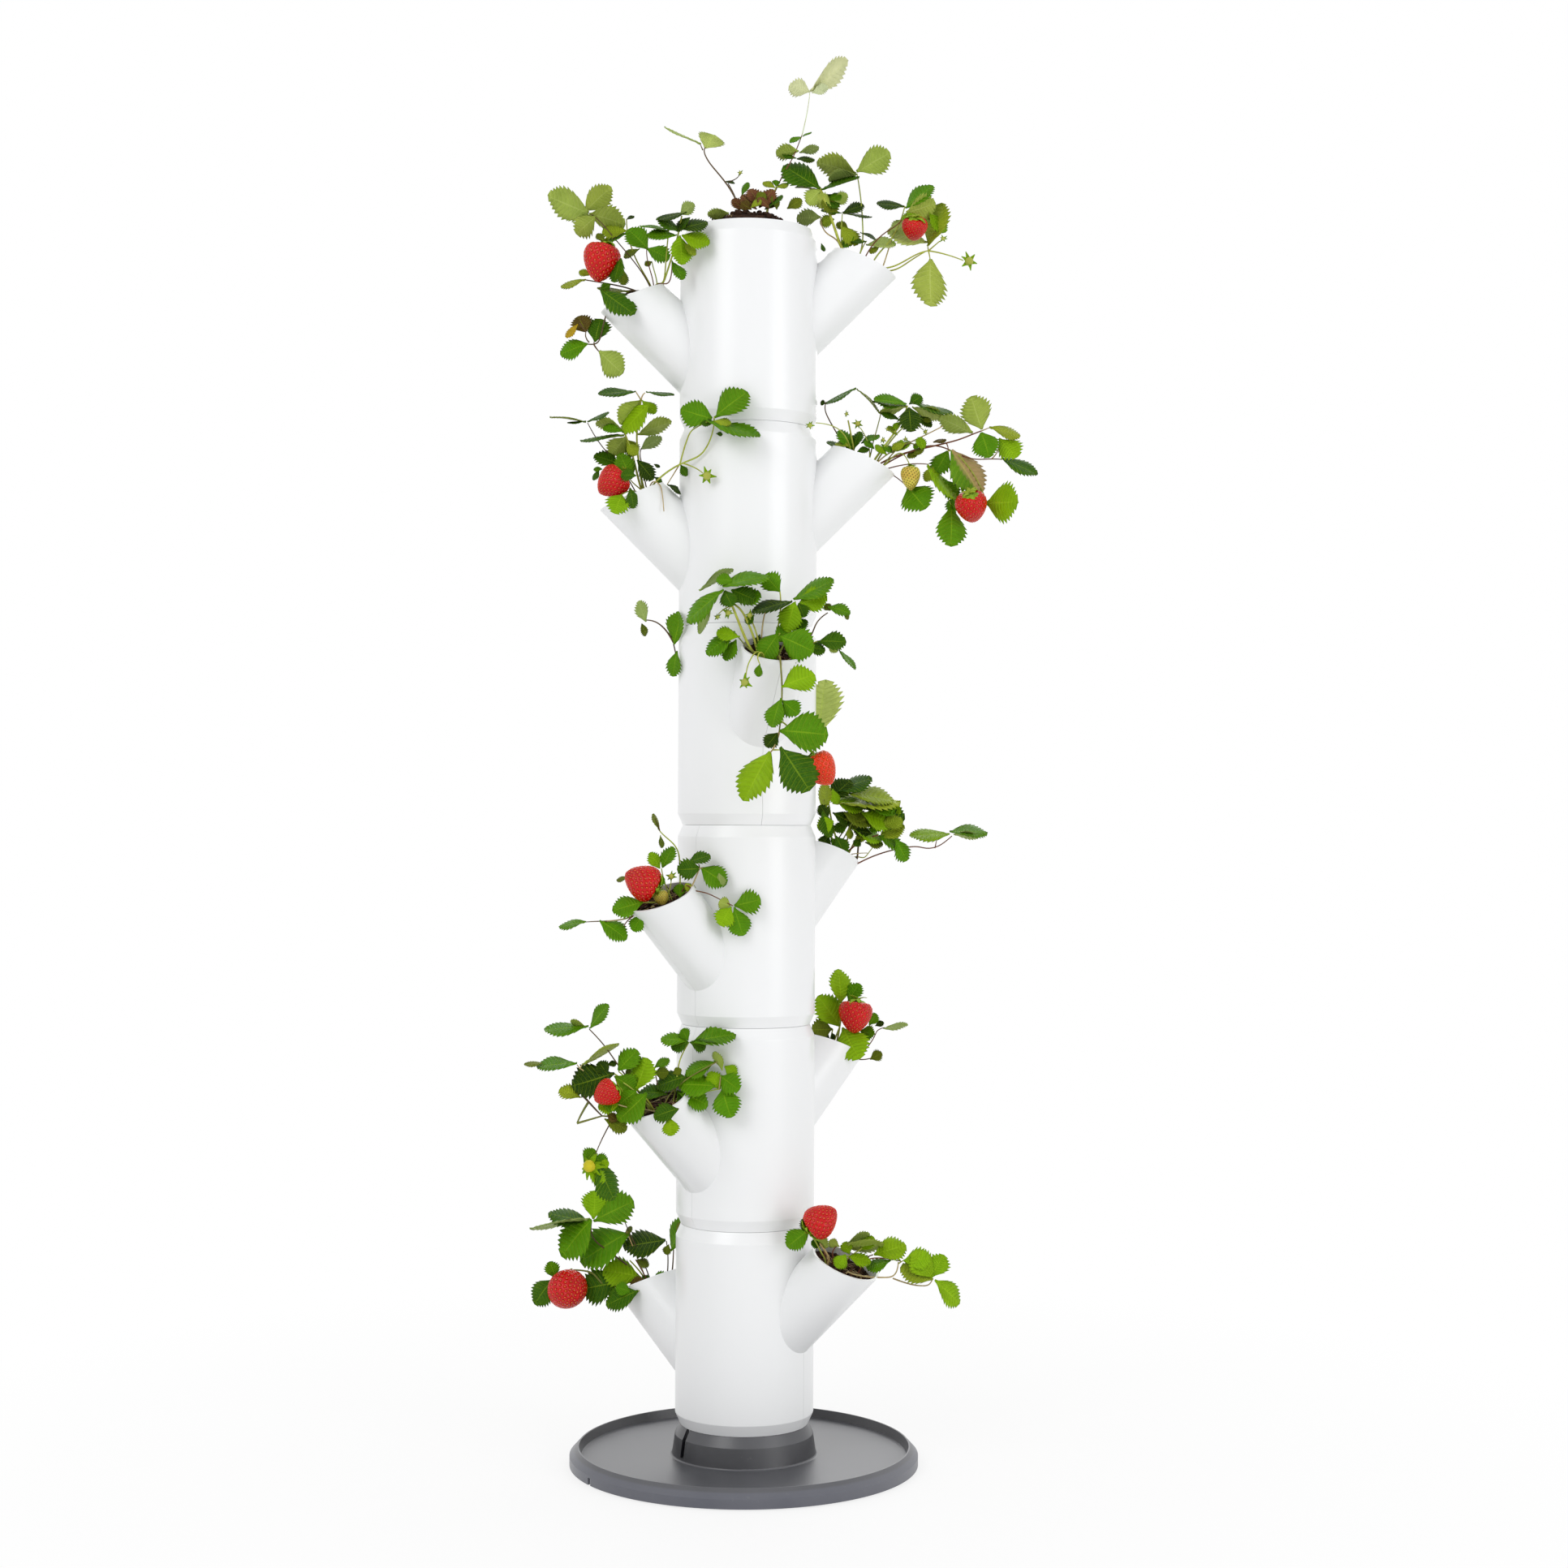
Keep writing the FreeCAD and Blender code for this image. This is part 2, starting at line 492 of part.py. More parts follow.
def make_soil():
    """Soil of a stacked tier, and of the top one, which is heaped above its rim."""
    above_plate = "floor_shelf + disc_thickness + soil_clearance"
    wall_face = "tube_radius - wall - soil_clearance"
    column = [
        ("0", f"{above_plate} - disc_dish"),
        (DIP, f"{above_plate} - disc_dish"),
        (f"{DIP} + 2 * disc_dish", above_plate),
        ("seam_radius - wall / 2 - disc_clearance", above_plate),
        (wall_face, "shoulder_height + soil_clearance"),
    ]
    stacked = revolved("soil_column", column + [(wall_face, "soil_top"), ("0", "soil_top")])
    neck = "seam_radius - wall - soil_clearance"
    mound = [(f"mound_radius * {math.cos(math.radians(a)):.4f}",
              f"tier_pitch - rim_depth + (mound_height + rim_depth) * {math.sin(math.radians(a)):.4f}")
             for a in (20, 40, 60)]
    heaped = revolved("soil_heap", column + [
        (wall_face, "tier_pitch - shoulder_height - wall - soil_clearance"),
        (neck, "tier_pitch - neck_land - soil_clearance"), (neck, "tier_pitch - rim_depth"),
        ("mound_radius", "tier_pitch - rim_depth"),
    ] + mound + [("0", "tier_pitch + mound_height")])
    fills = [pocket_tube("high_fill", "high_mouth", 0, "pocket_radius - wall - soil_clearance", "soil_level"),
             pocket_tube("low_fill", "low_mouth", 1, "pocket_radius - wall - soil_clearance", "soil_level")]
    ears = join("ear_room", [ear_block(f"{ear}_room", ear, bearing, 0, "soil_clearance")
                             for ear, bearing in EARS.items()])
    return [cut(name, join(name + "_blank", [body] + fills), ears)
            for name, body in (("soil_stacked", stacked), ("soil_heaped", heaped))]


def tier_base(tier):
    return f"ring_top + {tier - 1} * tier_pitch"


def in_tier(label, tier, master):
    """A copy of one of the tier's pieces, at its height and turned to its bearing."""
    item = group(label, [master])
    return place(item, at=("0", "0", tier_base(tier)), angle=f"tier{tier}_turn")


def blade(joint, heading, climb, length):
    """A three-lobed leaf, flat and thin, whose lobes meet at the joint."""
    def polar(reach, angle):
        return Vector(reach * math.cos(math.radians(angle)), reach * math.sin(math.radians(angle)), 0)
    stops = [polar(0.12 * length, 180), polar(0.85 * length, -75), polar(0.3 * length, -37), polar(length, 0),
             polar(0.3 * length, 37), polar(0.85 * length, 75)]
    outline = []
    for start, end in zip(stops, stops[1:] + stops[:1]):
        outward = Vector(end.y - start.y, start.x - end.x, 0) * 0.2
        outline += [start, start * 0.7 + end * 0.3 + outward, start * 0.3 + end * 0.7 + outward]
    leaf = Part.Face(Part.makePolygon(outline + outline[:1])).extrude(Vector(0, 0, BLADE))
    leaf.translate(Vector(0, 0, -BLADE / 2))
    leaf.rotate(Vector(0, 0, 0), Vector(0, 1, 0), -climb)
    leaf.rotate(Vector(0, 0, 0), Vector(0, 0, 1), heading)
    leaf.translate(joint)
    return leaf


def stacked(foot, axis, rings, sides):
    """A solid of flat sides: the same polygon at each (height, radius) along the axis from the foot."""
    axis = Vector(axis).normalize()
    side = axis.cross(Vector(1, 2, 3)).normalize()
    turn = 360 / sides
    loops = [[foot + axis * height + FreeCAD.Rotation(axis, turn * i).multVec(side) * radius
              for i in range(sides + 1)] for height, radius in rings]
    faces = [Part.Face(Part.makePolygon(loop)) for loop in (loops[0], loops[-1])]
    for low, high in zip(loops, loops[1:]):
        faces += [Part.Face(Part.makePolygon([low[i], low[i + 1], high[i + 1], high[i], low[i]]))
                  for i in range(sides)]
    return Part.Solid(Part.Shell(faces))


def stalk(points):
    """Straight six-sided runs from point to point, each a little long so that it joins the next."""
    pieces = []
    for start, end in zip(points, points[1:]):
        spare = Vector(end - start).normalize() * STALK / 2
        pieces.append(stacked(start - spare, end - start, [(0, STALK), ((end - start).Length + STALK, STALK)], 6))
    return pieces


def route(foot, target, up, rim, via):
    """The stalk's points: from the crown, over the pocket's rim where the target lies low, to the target."""
    if via is not None:
        return [foot, Vector(*via), target]
    if rim and (target.dot(up) < LIP_ROOM + 4):
        out = Vector(target.x, target.y, 0)
        out.normalize()
        crest = out * (rim + LIP_ROOM)
        crest.z = LIP_ROOM - (crest.x * up.x + crest.y * up.y) / up.z
        return [foot, crest, target]
    return [foot, target]


def clear_of_tube(point, mouth):
    """The point, or one straight outwards from it where it would stand too near the tube."""
    out = Vector(point.x + mouth.x, point.y + mouth.y, 0)
    short = size("tube_radius") + TUBE_ROOM - out.Length
    return point + out.normalize() * max(short, 0)


def make_plant(label, tier, mouth, bearing, up, sunk, rim):
    """One plant as a solid, with its crown on the soil and its leaves where they stand in the tower."""
    rows = PLANTS[label]
    seat = up * (SEAT_GAP - sunk)
    crown = stacked(seat, up, [(0, CROWN["foot"]), (CROWN["height"], CROWN["tip"])], 10)
    foot = seat + up * (CROWN["height"] - 3)
    pieces = []
    for i, (x, y, z, heading, climb, length) in enumerate(rows["leaves"]):
        joint = Vector(x, y, z)
        if rim:
            joint = clear_of_tube(joint, mouth)
        pieces += stalk(route(foot, joint, up, rim, rows["via"].get(i)))
        pieces.append(blade(joint, heading, climb, length))
    for x, y, z, diameter in rows["berries"]:
        centre = Vector(x, y, z)
        pieces += stalk(route(foot, centre + Vector(0, 0, diameter / 2 + 4), up, rim, None)
                        + [centre + Vector(0, 0, diameter / 4)])
        rings = [(height * diameter, radius * diameter) for height, radius in BERRY]
        pieces.append(stacked(centre, Vector(0, 0, 1), rings, 10))
    for piece in pieces + [crown]:
        piece.translate(mouth)
        piece.rotate(Vector(0, 0, 0), Vector(0, 0, 1), -bearing)
    item = doc.addObject("Part::Feature", label)
    item.Shape = crown.multiFuse(pieces)
    return place(item, at=("0", "0", tier_base(tier)), angle=f"tier{tier}_turn")


def make_plants(tier):
    """The two pocket plants of a tier, and the crown plant on the top one."""
    turn = size(f"tier{tier}_turn")
    slope = math.radians(size("mouth_slope"))
    plants = []
    for name, bearing, height in (("high", turn, size("high_mouth")), ("low", turn + 180, size("low_mouth"))):
        out = Vector(math.cos(math.radians(bearing)), math.sin(math.radians(bearing)), 0)
        mouth = out * (size("tube_radius") + size("pocket_stand")) + Vector(0, 0, height)
        up = out * math.sin(slope) + Vector(0, 0, math.cos(slope))
        plants.append(make_plant(f"tier{tier}_plant_{name}", tier, mouth, turn, up,
                                 size("soil_level"), size("pocket_radius")))
    if tier == TIERS:
        plants.append(make_plant("crown_plant", tier, Vector(0, 0, size("tier_pitch")), turn, Vector(0, 0, 1),
                                 -size("mound_height"), 0))
    return plants


def finish(nodes):
    """Check every object, then write each piece under its own name."""
    doc.recompute()
    for item in doc.Objects:
        if "Invalid" in item.State or "Error" in item.State:
            raise RuntimeError(f"{item.Label} did not compute")
    os.makedirs("parts", exist_ok=True)
    for node in nodes:
        shape = node.Shape
        if shape.isNull() or not shape.isValid():
            raise RuntimeError(f"{node.Label} has no valid shape")
        shape.exportStep(f"parts/{node.Label}.step")
        print(f"{node.Label}: {len(shape.Solids)} solid(s), {shape.Volume / 1000:.1f} cm3")


nodes = make_tray()
pin_half, socket_half = make_shell()
drip_floor = make_drip_floor()
soil_stacked, soil_heaped = make_soil()
for tier in range(1, TIERS + 1):
    nodes.append(in_tier(f"tier{tier}_pin_half", tier, pin_half))
    nodes.append(in_tier(f"tier{tier}_socket_half", tier, socket_half))
    nodes.append(in_tier(f"tier{tier}_drip_floor", tier, drip_floor))
    nodes.append(in_tier(f"tier{tier}_soil", tier, soil_heaped if tier == TIERS else soil_stacked))
    nodes += make_plants(tier)
finish(nodes)
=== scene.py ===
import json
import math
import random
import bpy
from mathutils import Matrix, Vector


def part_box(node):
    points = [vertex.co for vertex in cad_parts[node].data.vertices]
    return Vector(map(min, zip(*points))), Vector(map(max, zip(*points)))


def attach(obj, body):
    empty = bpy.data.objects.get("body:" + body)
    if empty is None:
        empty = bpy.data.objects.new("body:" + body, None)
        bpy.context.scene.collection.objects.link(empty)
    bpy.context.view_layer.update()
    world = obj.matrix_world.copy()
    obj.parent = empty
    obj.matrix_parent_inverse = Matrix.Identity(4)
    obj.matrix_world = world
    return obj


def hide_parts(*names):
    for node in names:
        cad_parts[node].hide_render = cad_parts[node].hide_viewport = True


bl_info = {
    "name": "Planter Tower",
    "version": (1, 0, 0),
    "blender": (4, 5, 0),
    "location": "3D View > Sidebar > Planter",
    "description": "Finishes a planter tower's shells and tray, and grows its strawberry plants",
    "category": "Object",
}

import bmesh
import bpy
from mathutils import Matrix, Quaternion, Vector
from mathutils.kdtree import KDTree
from mathutils.noise import noise

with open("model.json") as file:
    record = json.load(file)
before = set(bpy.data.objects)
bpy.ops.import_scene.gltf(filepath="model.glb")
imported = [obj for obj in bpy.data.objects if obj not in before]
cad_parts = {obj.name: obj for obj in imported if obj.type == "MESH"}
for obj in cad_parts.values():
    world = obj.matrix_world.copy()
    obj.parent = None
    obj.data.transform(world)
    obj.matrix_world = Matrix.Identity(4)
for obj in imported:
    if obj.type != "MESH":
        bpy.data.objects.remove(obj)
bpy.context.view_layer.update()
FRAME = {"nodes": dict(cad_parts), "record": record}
MM = 0.001
UP = Vector((0, 0, 1))

# The tower's own sizes: the bearings of the tiers' high pockets in degrees, and in millimetres a mouth's
# distance from the axis, its height in a tier, its bore and the soil below it, with its slope in degrees.
TURNS = {1: -32, 2: 41, 3: 44, 4: -77, 5: 6, 6: 4}
MOUTH = {"reach": 117, "high": 171, "low": 130.4, "bore": 30.5, "soil": 8, "slope": 24}
TOP_MOUND = {"radius": 42, "foot": -3, "top": 17, "neck": 61}
TUBE_ROOM = 72 * MM
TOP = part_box("tier6_pin_half")[1][2]
TIER_FOOT = {joint["child"]: joint["pos_m"][2] for joint in FRAME["record"]["behaviour"]["joints"]}

# The photograph: a square picture, seen from almost level a little under the tower's middle.
PICTURE = 1932
FOCAL = 3049
EYE = Vector((0, -2.5, 0.6471))
PITCH = math.radians(0.83)
YAW = math.radians(-0.86)
ROLL = math.radians(0.24)
LOOK = (Matrix.Rotation(YAW, 3, "Z") @ Matrix.Rotation(math.pi / 2 + PITCH, 3, "X")
        @ Matrix.Rotation(ROLL, 3, "Z"))


def seen(pixel, depth):
    """The point that shows at a pixel of the photograph and lies at that Y, in metres."""
    ray = LOOK @ Vector(((pixel[0] - PICTURE / 2) / FOCAL, (PICTURE / 2 - pixel[1]) / FOCAL, -1))
    return EYE + ray * ((depth - EYE.y) / ray.y)


def pixel_size(point):
    """The metres that one pixel spans at a point's distance."""
    return (point.y - EYE.y) / FOCAL


def linear(code):
    """A colour written as six hexadecimal digits, as Blender's linear values."""
    values = (int(code[i:i + 2], 16) / 255 for i in (0, 2, 4))
    return tuple(v / 12.92 if v <= 0.04045 else ((v + 0.055) / 1.055) ** 2.4 for v in values)


def rgba(colour):
    return (*tuple(colour)[:3], 1)


# The tones of dust, of painted shade on the tray's upright faces inside its rim, and of painted light
# reflected from the floor on the tray outside its rim, and the rim's distance from the axis.
DUST = (0.5, 0.5, 0.5, 1)
TRAY_DUST = rgba(linear("8c8c8a"))
TRAY_PAINTED_SHADE = rgba(linear("17181e"))
TRAY_PAINTED_FLOOR_LIGHT = rgba(linear("52545e"))
TRAY_RIM = 170.5 * MM


# Settings

def colour_setting(name, description, code):
    return bpy.props.FloatVectorProperty(name=name, description=description, subtype="COLOR", min=0, max=1,
                                         default=linear(code))


def length_setting(name, description, millimetres):
    return bpy.props.FloatProperty(name=name, description=description, subtype="DISTANCE", unit="LENGTH",
                                   min=0, precision=4, default=millimetres * MM)


def count_setting(name, description, count, least, most):
    return bpy.props.IntProperty(name=name, description=description, default=count, min=least, max=most)


class TowerFinish(bpy.types.PropertyGroup):
    shell: colour_setting("Shell", "White of the moulded tiers", "f0f1f2")
    plate: colour_setting("Drip floor", "White of the plates inside the tiers", "e8e8e8")
    tray: colour_setting("Tray", "Grey of the drip tray", "45464b")
    pads: colour_setting("Pads", "Black of the rubber pads", "1b1b1d")
    grain: length_setting("Grain", "Size of the moulded grain", 0.5)


class SoilFinish(bpy.types.PropertyGroup):
    dark: colour_setting("Damp soil", "Darkest part of the soil", "20130d")
    light: colour_setting("Dry soil", "Lightest crumbs", "5a3c2a")
    crumb: length_setting("Crumb", "Size of a large crumb", 4)
    root: length_setting("Root", "Radius of a root that lies on the soil", 0.5)


class PlantSizes(bpy.types.PropertyGroup):
    thickness: length_setting("Leaf thickness", "Thickness of a leaflet", 0.5)
    stalk: length_setting("Stalk", "Radius of a stalk", 0.85)
    teeth: count_setting("Teeth", "Teeth along each side of a leaflet", 7, 4, 12)
    seeds: count_setting("Seeds", "Seeds on a ripe berry", 170, 20, 300)


class PlanterSettings(bpy.types.PropertyGroup):
    tower: bpy.props.PointerProperty(type=TowerFinish)
    soil: bpy.props.PointerProperty(type=SoilFinish)
    plants: bpy.props.PointerProperty(type=PlantSizes)


# Materials

class Nodes:
    """A short way to build a node tree."""

    def __init__(self, tree):
        self.tree = tree

    def add(self, kind, inputs=None, **settings):
        node = self.tree.nodes.new("ShaderNode" + kind)
        for name, value in settings.items():
            setattr(node, name, value)
        for name, value in (inputs or {}).items():
            self.feed(node.inputs[name], value)
        return node

    def feed(self, socket, value):
        if isinstance(value, bpy.types.NodeSocket):
            self.tree.links.new(value, socket)
        else:
            socket.default_value = value

    def math(self, operation, *values):
        node = self.add("Math", operation=operation)
        for socket, value in zip(node.inputs, values):
            self.feed(socket, value)
        return node.outputs[0]

    def mix(self, share, first, second, blend="MIX"):
        node = self.add("Mix", data_type="RGBA", blend_type=blend)
        for i, value in ((0, share), (6, first), (7, second)):
            self.feed(node.inputs[i], value)
        return node.outputs[2]

    def span(self, value, low, high, to_low=0.0, to_high=1.0):
        node = self.add("MapRange", {"Value": value, "From Min": low, "From Max": high,
                                     "To Min": to_low, "To Max": to_high})
        return node.outputs[0]

    def noise(self, where, scale, detail=3.0, roughness=0.5):
        return self.add("TexNoise", {"Vector": where, "Scale": scale, "Detail": detail,
                                     "Roughness": roughness}).outputs["Fac"]

    def bump(self, height, strength, distance):
        return self.add("Bump", {"Height": height, "Strength": strength, "Distance": distance}).outputs[0]

    def tint(self):
        return self.add("Attribute", attribute_name="tint").outputs["Color"]

    def looked_at(self):
        """1 where a camera, glossy or transmission ray meets the surface, and 0 for the light's own rays."""
        rays = self.add("LightPath").outputs
        straight = self.math("MAXIMUM", rays["Is Camera Ray"], rays["Is Glossy Ray"])
        return self.math("MAXIMUM", straight, rays["Is Transmission Ray"])

    def group(self, name, inputs):
        node = self.add("Group", node_tree=bpy.data.node_groups[name])
        for key, value in inputs.items():
            self.feed(node.inputs[key], value)
        return node


def new_group(name, inputs, outputs):
    """An empty shader node group, its nodes, and its input and output sockets."""
    tree = bpy.data.node_groups.new(name, "ShaderNodeTree")
    for side, sockets in (("INPUT", inputs), ("OUTPUT", outputs)):
        for label, kind, value in sockets:
            socket = tree.interface.new_socket(name=label, in_out=side, socket_type="NodeSocket" + kind)
            if value is not None:
                socket.default_value = value
    nodes = Nodes(tree)
    return nodes, tree.nodes.new("NodeGroupInput").outputs, tree.nodes.new("NodeGroupOutput").inputs


def new_material(name):
    """The nodes of a new material, its Principled shader, and the Object coordinates."""
    material = bpy.data.materials.new(name)
    material.use_nodes = True
    nodes = Nodes(material.node_tree)
    return nodes, nodes.tree.nodes["Principled BSDF"], nodes.add("TexCoord").outputs["Object"]


def make_groups():
    """The effects that several materials share."""
    nodes, given, out = new_group(
        "Moulded Surface",
        [("Position", "Vector", None), ("Grain", "Float", 0.0005), ("Relief", "Float", 0.1),
         ("Tone", "Color", (1, 1, 1, 1)), ("Mottle", "Float", 0.02), ("Dust", "Color", (0.6, 0.6, 0.6, 1)),
         ("Dust Amount", "Float", 0.1), ("Smooth", "Float", 0.3), ("Rough", "Float", 0.4)],
        [("Color", "Color", None), ("Roughness", "Float", None), ("Normal", "Vector", None)])
    cloud = nodes.noise(given["Position"], 9.0, 4.0)
    darker = nodes.mix(given["Mottle"], given["Tone"], (0.25, 0.25, 0.27, 1))
    tone = nodes.mix(nodes.span(cloud, 0.35, 0.65), given["Tone"], darker)
    speck = nodes.span(nodes.noise(given["Position"], 160.0, 5.0, 0.7), 0.62, 0.72)
    upright = nodes.add("Mapping", {"Vector": given["Position"], "Scale": (60, 60, 5)}).outputs[0]
    streak = nodes.noise(upright, 1.0)
    dust = nodes.math("MULTIPLY", nodes.math("MULTIPLY", speck, nodes.span(streak, 0.4, 0.65)),
                      given["Dust Amount"])
    nodes.feed(out["Color"], nodes.mix(dust, tone, given["Dust"]))
    gloss = nodes.span(cloud, 0.3, 0.7, given["Smooth"], given["Rough"])
    nodes.feed(out["Roughness"], nodes.math("ADD", gloss, nodes.math("MULTIPLY", dust, 0.5)))
    fine = nodes.noise(given["Position"], nodes.math("DIVIDE", 1.0, given["Grain"]), 2.0)
    nodes.feed(out["Normal"], nodes.bump(fine, given["Relief"], 0.0003))

    nodes, given, out = new_group(
        "Leaf Veins",
        [("Leaf", "Vector", None), ("Position", "Vector", None), ("Tint", "Color", None),
         ("Vein Tone", "Color", (1, 1, 1, 1)), ("Vein Share", "Float", 0.3), ("Relief", "Float", 0.5)],
        [("Color", "Color", None), ("Roughness", "Float", None), ("Normal", "Vector", None)])
    axes = nodes.add("SeparateXYZ", {"Vector": given["Leaf"]}).outputs
    side = nodes.math("ABSOLUTE", nodes.math("SUBTRACT", axes[0], 0.5))
    midrib = nodes.span(side, 0.012, 0.03, 1.0, 0.0)
    wave = nodes.math("MULTIPLY", nodes.math("PINGPONG", nodes.math("MULTIPLY", axes[1], 10.0), 0.5), 2.0)
    rib = nodes.span(wave, 0.82, 0.97)
    strands = nodes.add("TexVoronoi", {"Vector": nodes.add("Mapping", {
        "Vector": given["Leaf"], "Scale": (9, 22, 1)}).outputs[0], "Scale": 1.0}, feature="DISTANCE_TO_EDGE")
    mesh = nodes.span(strands.outputs["Distance"], 0.0, 0.10, 1.0, 0.0)
    vein = nodes.math("MAXIMUM", nodes.math("MAXIMUM", midrib, rib), nodes.math("MULTIPLY", mesh, 0.35))
    blotch = nodes.noise(given["Position"], 70.0, 4.0, 0.6)
    shaded = nodes.mix(nodes.span(blotch, 0.3, 0.7, 0.0, 0.5), given["Tint"],
                       nodes.mix(1.0, given["Tint"], (0.55, 0.6, 0.5, 1), "MULTIPLY"))
    nodes.feed(out["Color"], nodes.mix(nodes.math("MULTIPLY", vein, given["Vein Share"]), shaded,
                                       given["Vein Tone"]))
    nodes.feed(out["Roughness"], nodes.span(blotch, 0.3, 0.7, 0.38, 0.58))
    swell = nodes.math("SUBTRACT", nodes.math("MULTIPLY", wave, -0.6), nodes.math("MULTIPLY", vein, 0.5))
    nodes.feed(out["Normal"], nodes.bump(swell, given["Relief"], 0.0008))


def finish_shader(nodes, shader, colour, roughness, normal, specular):
    """Lead four values or sockets to a Principled shader."""
    values = (colour, roughness, normal, specular)
    for name, value in zip(("Base Color", "Roughness", "Normal", "Specular IOR Level"), values):
        nodes.feed(shader.inputs[name], value)


def moulded(name, colour, grain, relief, mottle, dust, smooth, rough, dust_tone=DUST, specular=0.5):
    """Moulded plastic or rubber. Returns its nodes, the Object coordinates and the socket of its tone."""
    nodes, shader, where = new_material(name)
    surface = nodes.group("Moulded Surface", {
        "Position": where, "Grain": grain, "Relief": relief, "Tone": rgba(colour), "Mottle": mottle,
        "Dust": dust_tone, "Dust Amount": dust, "Smooth": smooth, "Rough": rough})
    finish_shader(nodes, shader, *surface.outputs, specular)
    return nodes, where, surface.inputs["Tone"]


def tray_material(colour, grain):
    """Grey plastic with painted shade on the upright faces inside the rim, and painted light reflected from
    the floor outside it.
    """
    nodes, where, tone = moulded("Grey Tray Plastic", colour, grain, 0.25, 0.2, 0.3, 0.3, 0.4, TRAY_DUST, 0.7)
    axes = nodes.add("SeparateXYZ", {"Vector": where}).outputs
    across = [nodes.math("MULTIPLY", axes[i], axes[i]) for i in (0, 1)]
    away = nodes.math("SQRT", nodes.math("ADD", *across))
    facing = nodes.add("SeparateXYZ", {"Vector": nodes.add("NewGeometry").outputs["Normal"]}).outputs[2]
    # Upright faces get painted shade.
    upright = nodes.span(nodes.math("ABSOLUTE", facing), 0.3, 0.6, 1.0, 0.0)
    inside = nodes.mix(upright, rgba(colour), TRAY_PAINTED_SHADE)
    # Outside the rim a paler tone is painted for light reflected from the floor.
    skirt = nodes.span(away, TRAY_RIM - 0.001, TRAY_RIM + 0.0005)
    nodes.feed(tone, nodes.mix(skirt, inside, TRAY_PAINTED_FLOOR_LIGHT))


def leaf_material(name, vein_tone, relief, fade, fade_tone):
    """A leaf's surface. The tint comes with each leaflet, and fades towards another tone."""
    nodes, shader, where = new_material(name)
    tint = nodes.mix(fade, nodes.tint(), fade_tone)
    surface = nodes.group("Leaf Veins", {
        "Leaf": nodes.add("TexCoord").outputs["UV"], "Position": where, "Tint": tint,
        "Vein Tone": nodes.mix(0.5, tint, vein_tone), "Vein Share": 0.5, "Relief": relief}).outputs
    finish_shader(nodes, shader, *surface, 0.1)


def tinted_material(name, roughness, fleck, scale):
    """A plain plant surface whose colour comes with its mesh, flecked along its length."""
    nodes, shader, where = new_material(name)
    tint = nodes.tint()
    spots = nodes.noise(where, scale, 4.0, 0.6)
    fleck_tone = nodes.mix(1.0, tint, (0.6, 0.35, 0.3, 1), "MULTIPLY")
    finish_shader(nodes, shader, nodes.mix(nodes.span(spots, 0.4, 0.7, 0.0, fleck), tint, fleck_tone),
                  nodes.span(spots, 0.3, 0.7, roughness - 0.1, roughness + 0.1),
                  nodes.bump(spots, 0.3, 0.0003), 0.25)


def berry_material():
    """Glossy flesh, deeper in clouds."""
    nodes, shader, where = new_material("Ripe Berry Flesh")
    tint = nodes.tint()
    cloud = nodes.noise(where, 90.0, 3.0)
    deep = nodes.mix(1.0, tint, (0.6, 0.2, 0.25, 1), "MULTIPLY")
    finish_shader(nodes, shader, nodes.mix(nodes.span(cloud, 0.35, 0.7, 0.0, 0.5), tint, deep),
                  nodes.span(cloud, 0.3, 0.7, 0.18, 0.3),
                  nodes.bump(nodes.noise(where, 700.0, 2.0), 0.15, 0.0002), 0.25)
    shader.inputs["Coat Weight"].default_value = 0.1
    shader.inputs["Coat Roughness"].default_value = 0.08


def soil_material(finish):
    """Dark earth with paler crumbs."""
    nodes, shader, where = new_material("Potting Soil")
    coarse = nodes.noise(where, 220.0, 6.0, 0.7)
    fine = nodes.noise(where, 1400.0, 3.0, 0.6)
    tone = nodes.mix(nodes.span(coarse, 0.4, 0.72), rgba(finish.dark), rgba(finish.light))
    relief = nodes.bump(nodes.math("ADD", coarse, fine), 0.9, 0.0015)
    finish_shader(nodes, shader, tone, nodes.span(fine, 0.3, 0.7, 0.8, 1.0), relief, 0.15)


def make_materials(settings):
    """Every material that a piece asks for by name."""
    make_groups()
    tower, grain = settings.tower, settings.tower.grain
    moulded("White Gloss Plastic", tower.shell, grain, 0.02, 0.0, 0.0, 0.28, 0.30)
    moulded("White Satin Plastic", tower.plate, grain, 0.08, 0.05, 0.3, 0.42, 0.55)
    tray_material(tower.tray, grain)
    moulded("Black Rubber", tower.pads, grain, 0.3, 0.2, 0.3, 0.75, 0.9)
    soil_material(settings.soil)
    leaf_material("Leaf Upper Side", rgba(linear("b4d030")), 0.8, 0.0, (0, 0, 0, 1))
    leaf_material("Leaf Under Side", rgba(linear("d6e08c")), 0.45, 0.2, rgba(linear("a8b948")))
    tinted_material("Green Stalk", 0.5, 0.5, 160.0)
    tinted_material("Berry Seeds", 0.35, 0.2, 900.0)
    berry_material()


# Mesh helpers

def tinted_mesh():
    """An empty bmesh whose vertices carry a tint and whose faces carry a UV map."""
    bm = bmesh.new()
    bm.verts.layers.float_color.new("tint")
    bm.loops.layers.uv.new("UVMap")
    return bm


def tint_verts(bm, verts, colour):
    layer = bm.verts.layers.float_color["tint"]
    for vert in verts:
        vert[layer] = rgba(colour)


def as_mesh(name, bm):
    """A mesh with the bmesh's shape, which ends the bmesh."""
    mesh = bpy.data.meshes.new(name)
    bm.to_mesh(mesh)
    bm.free()
    return mesh


def as_object(name, data):
    """An object in the scene's own collection."""
    made = bpy.data.objects.new(name, data)
    bpy.context.scene.collection.objects.link(made)
    return made


def body_of(plant):
    return "tier6" if plant == "crown" else plant.split("_")[0]


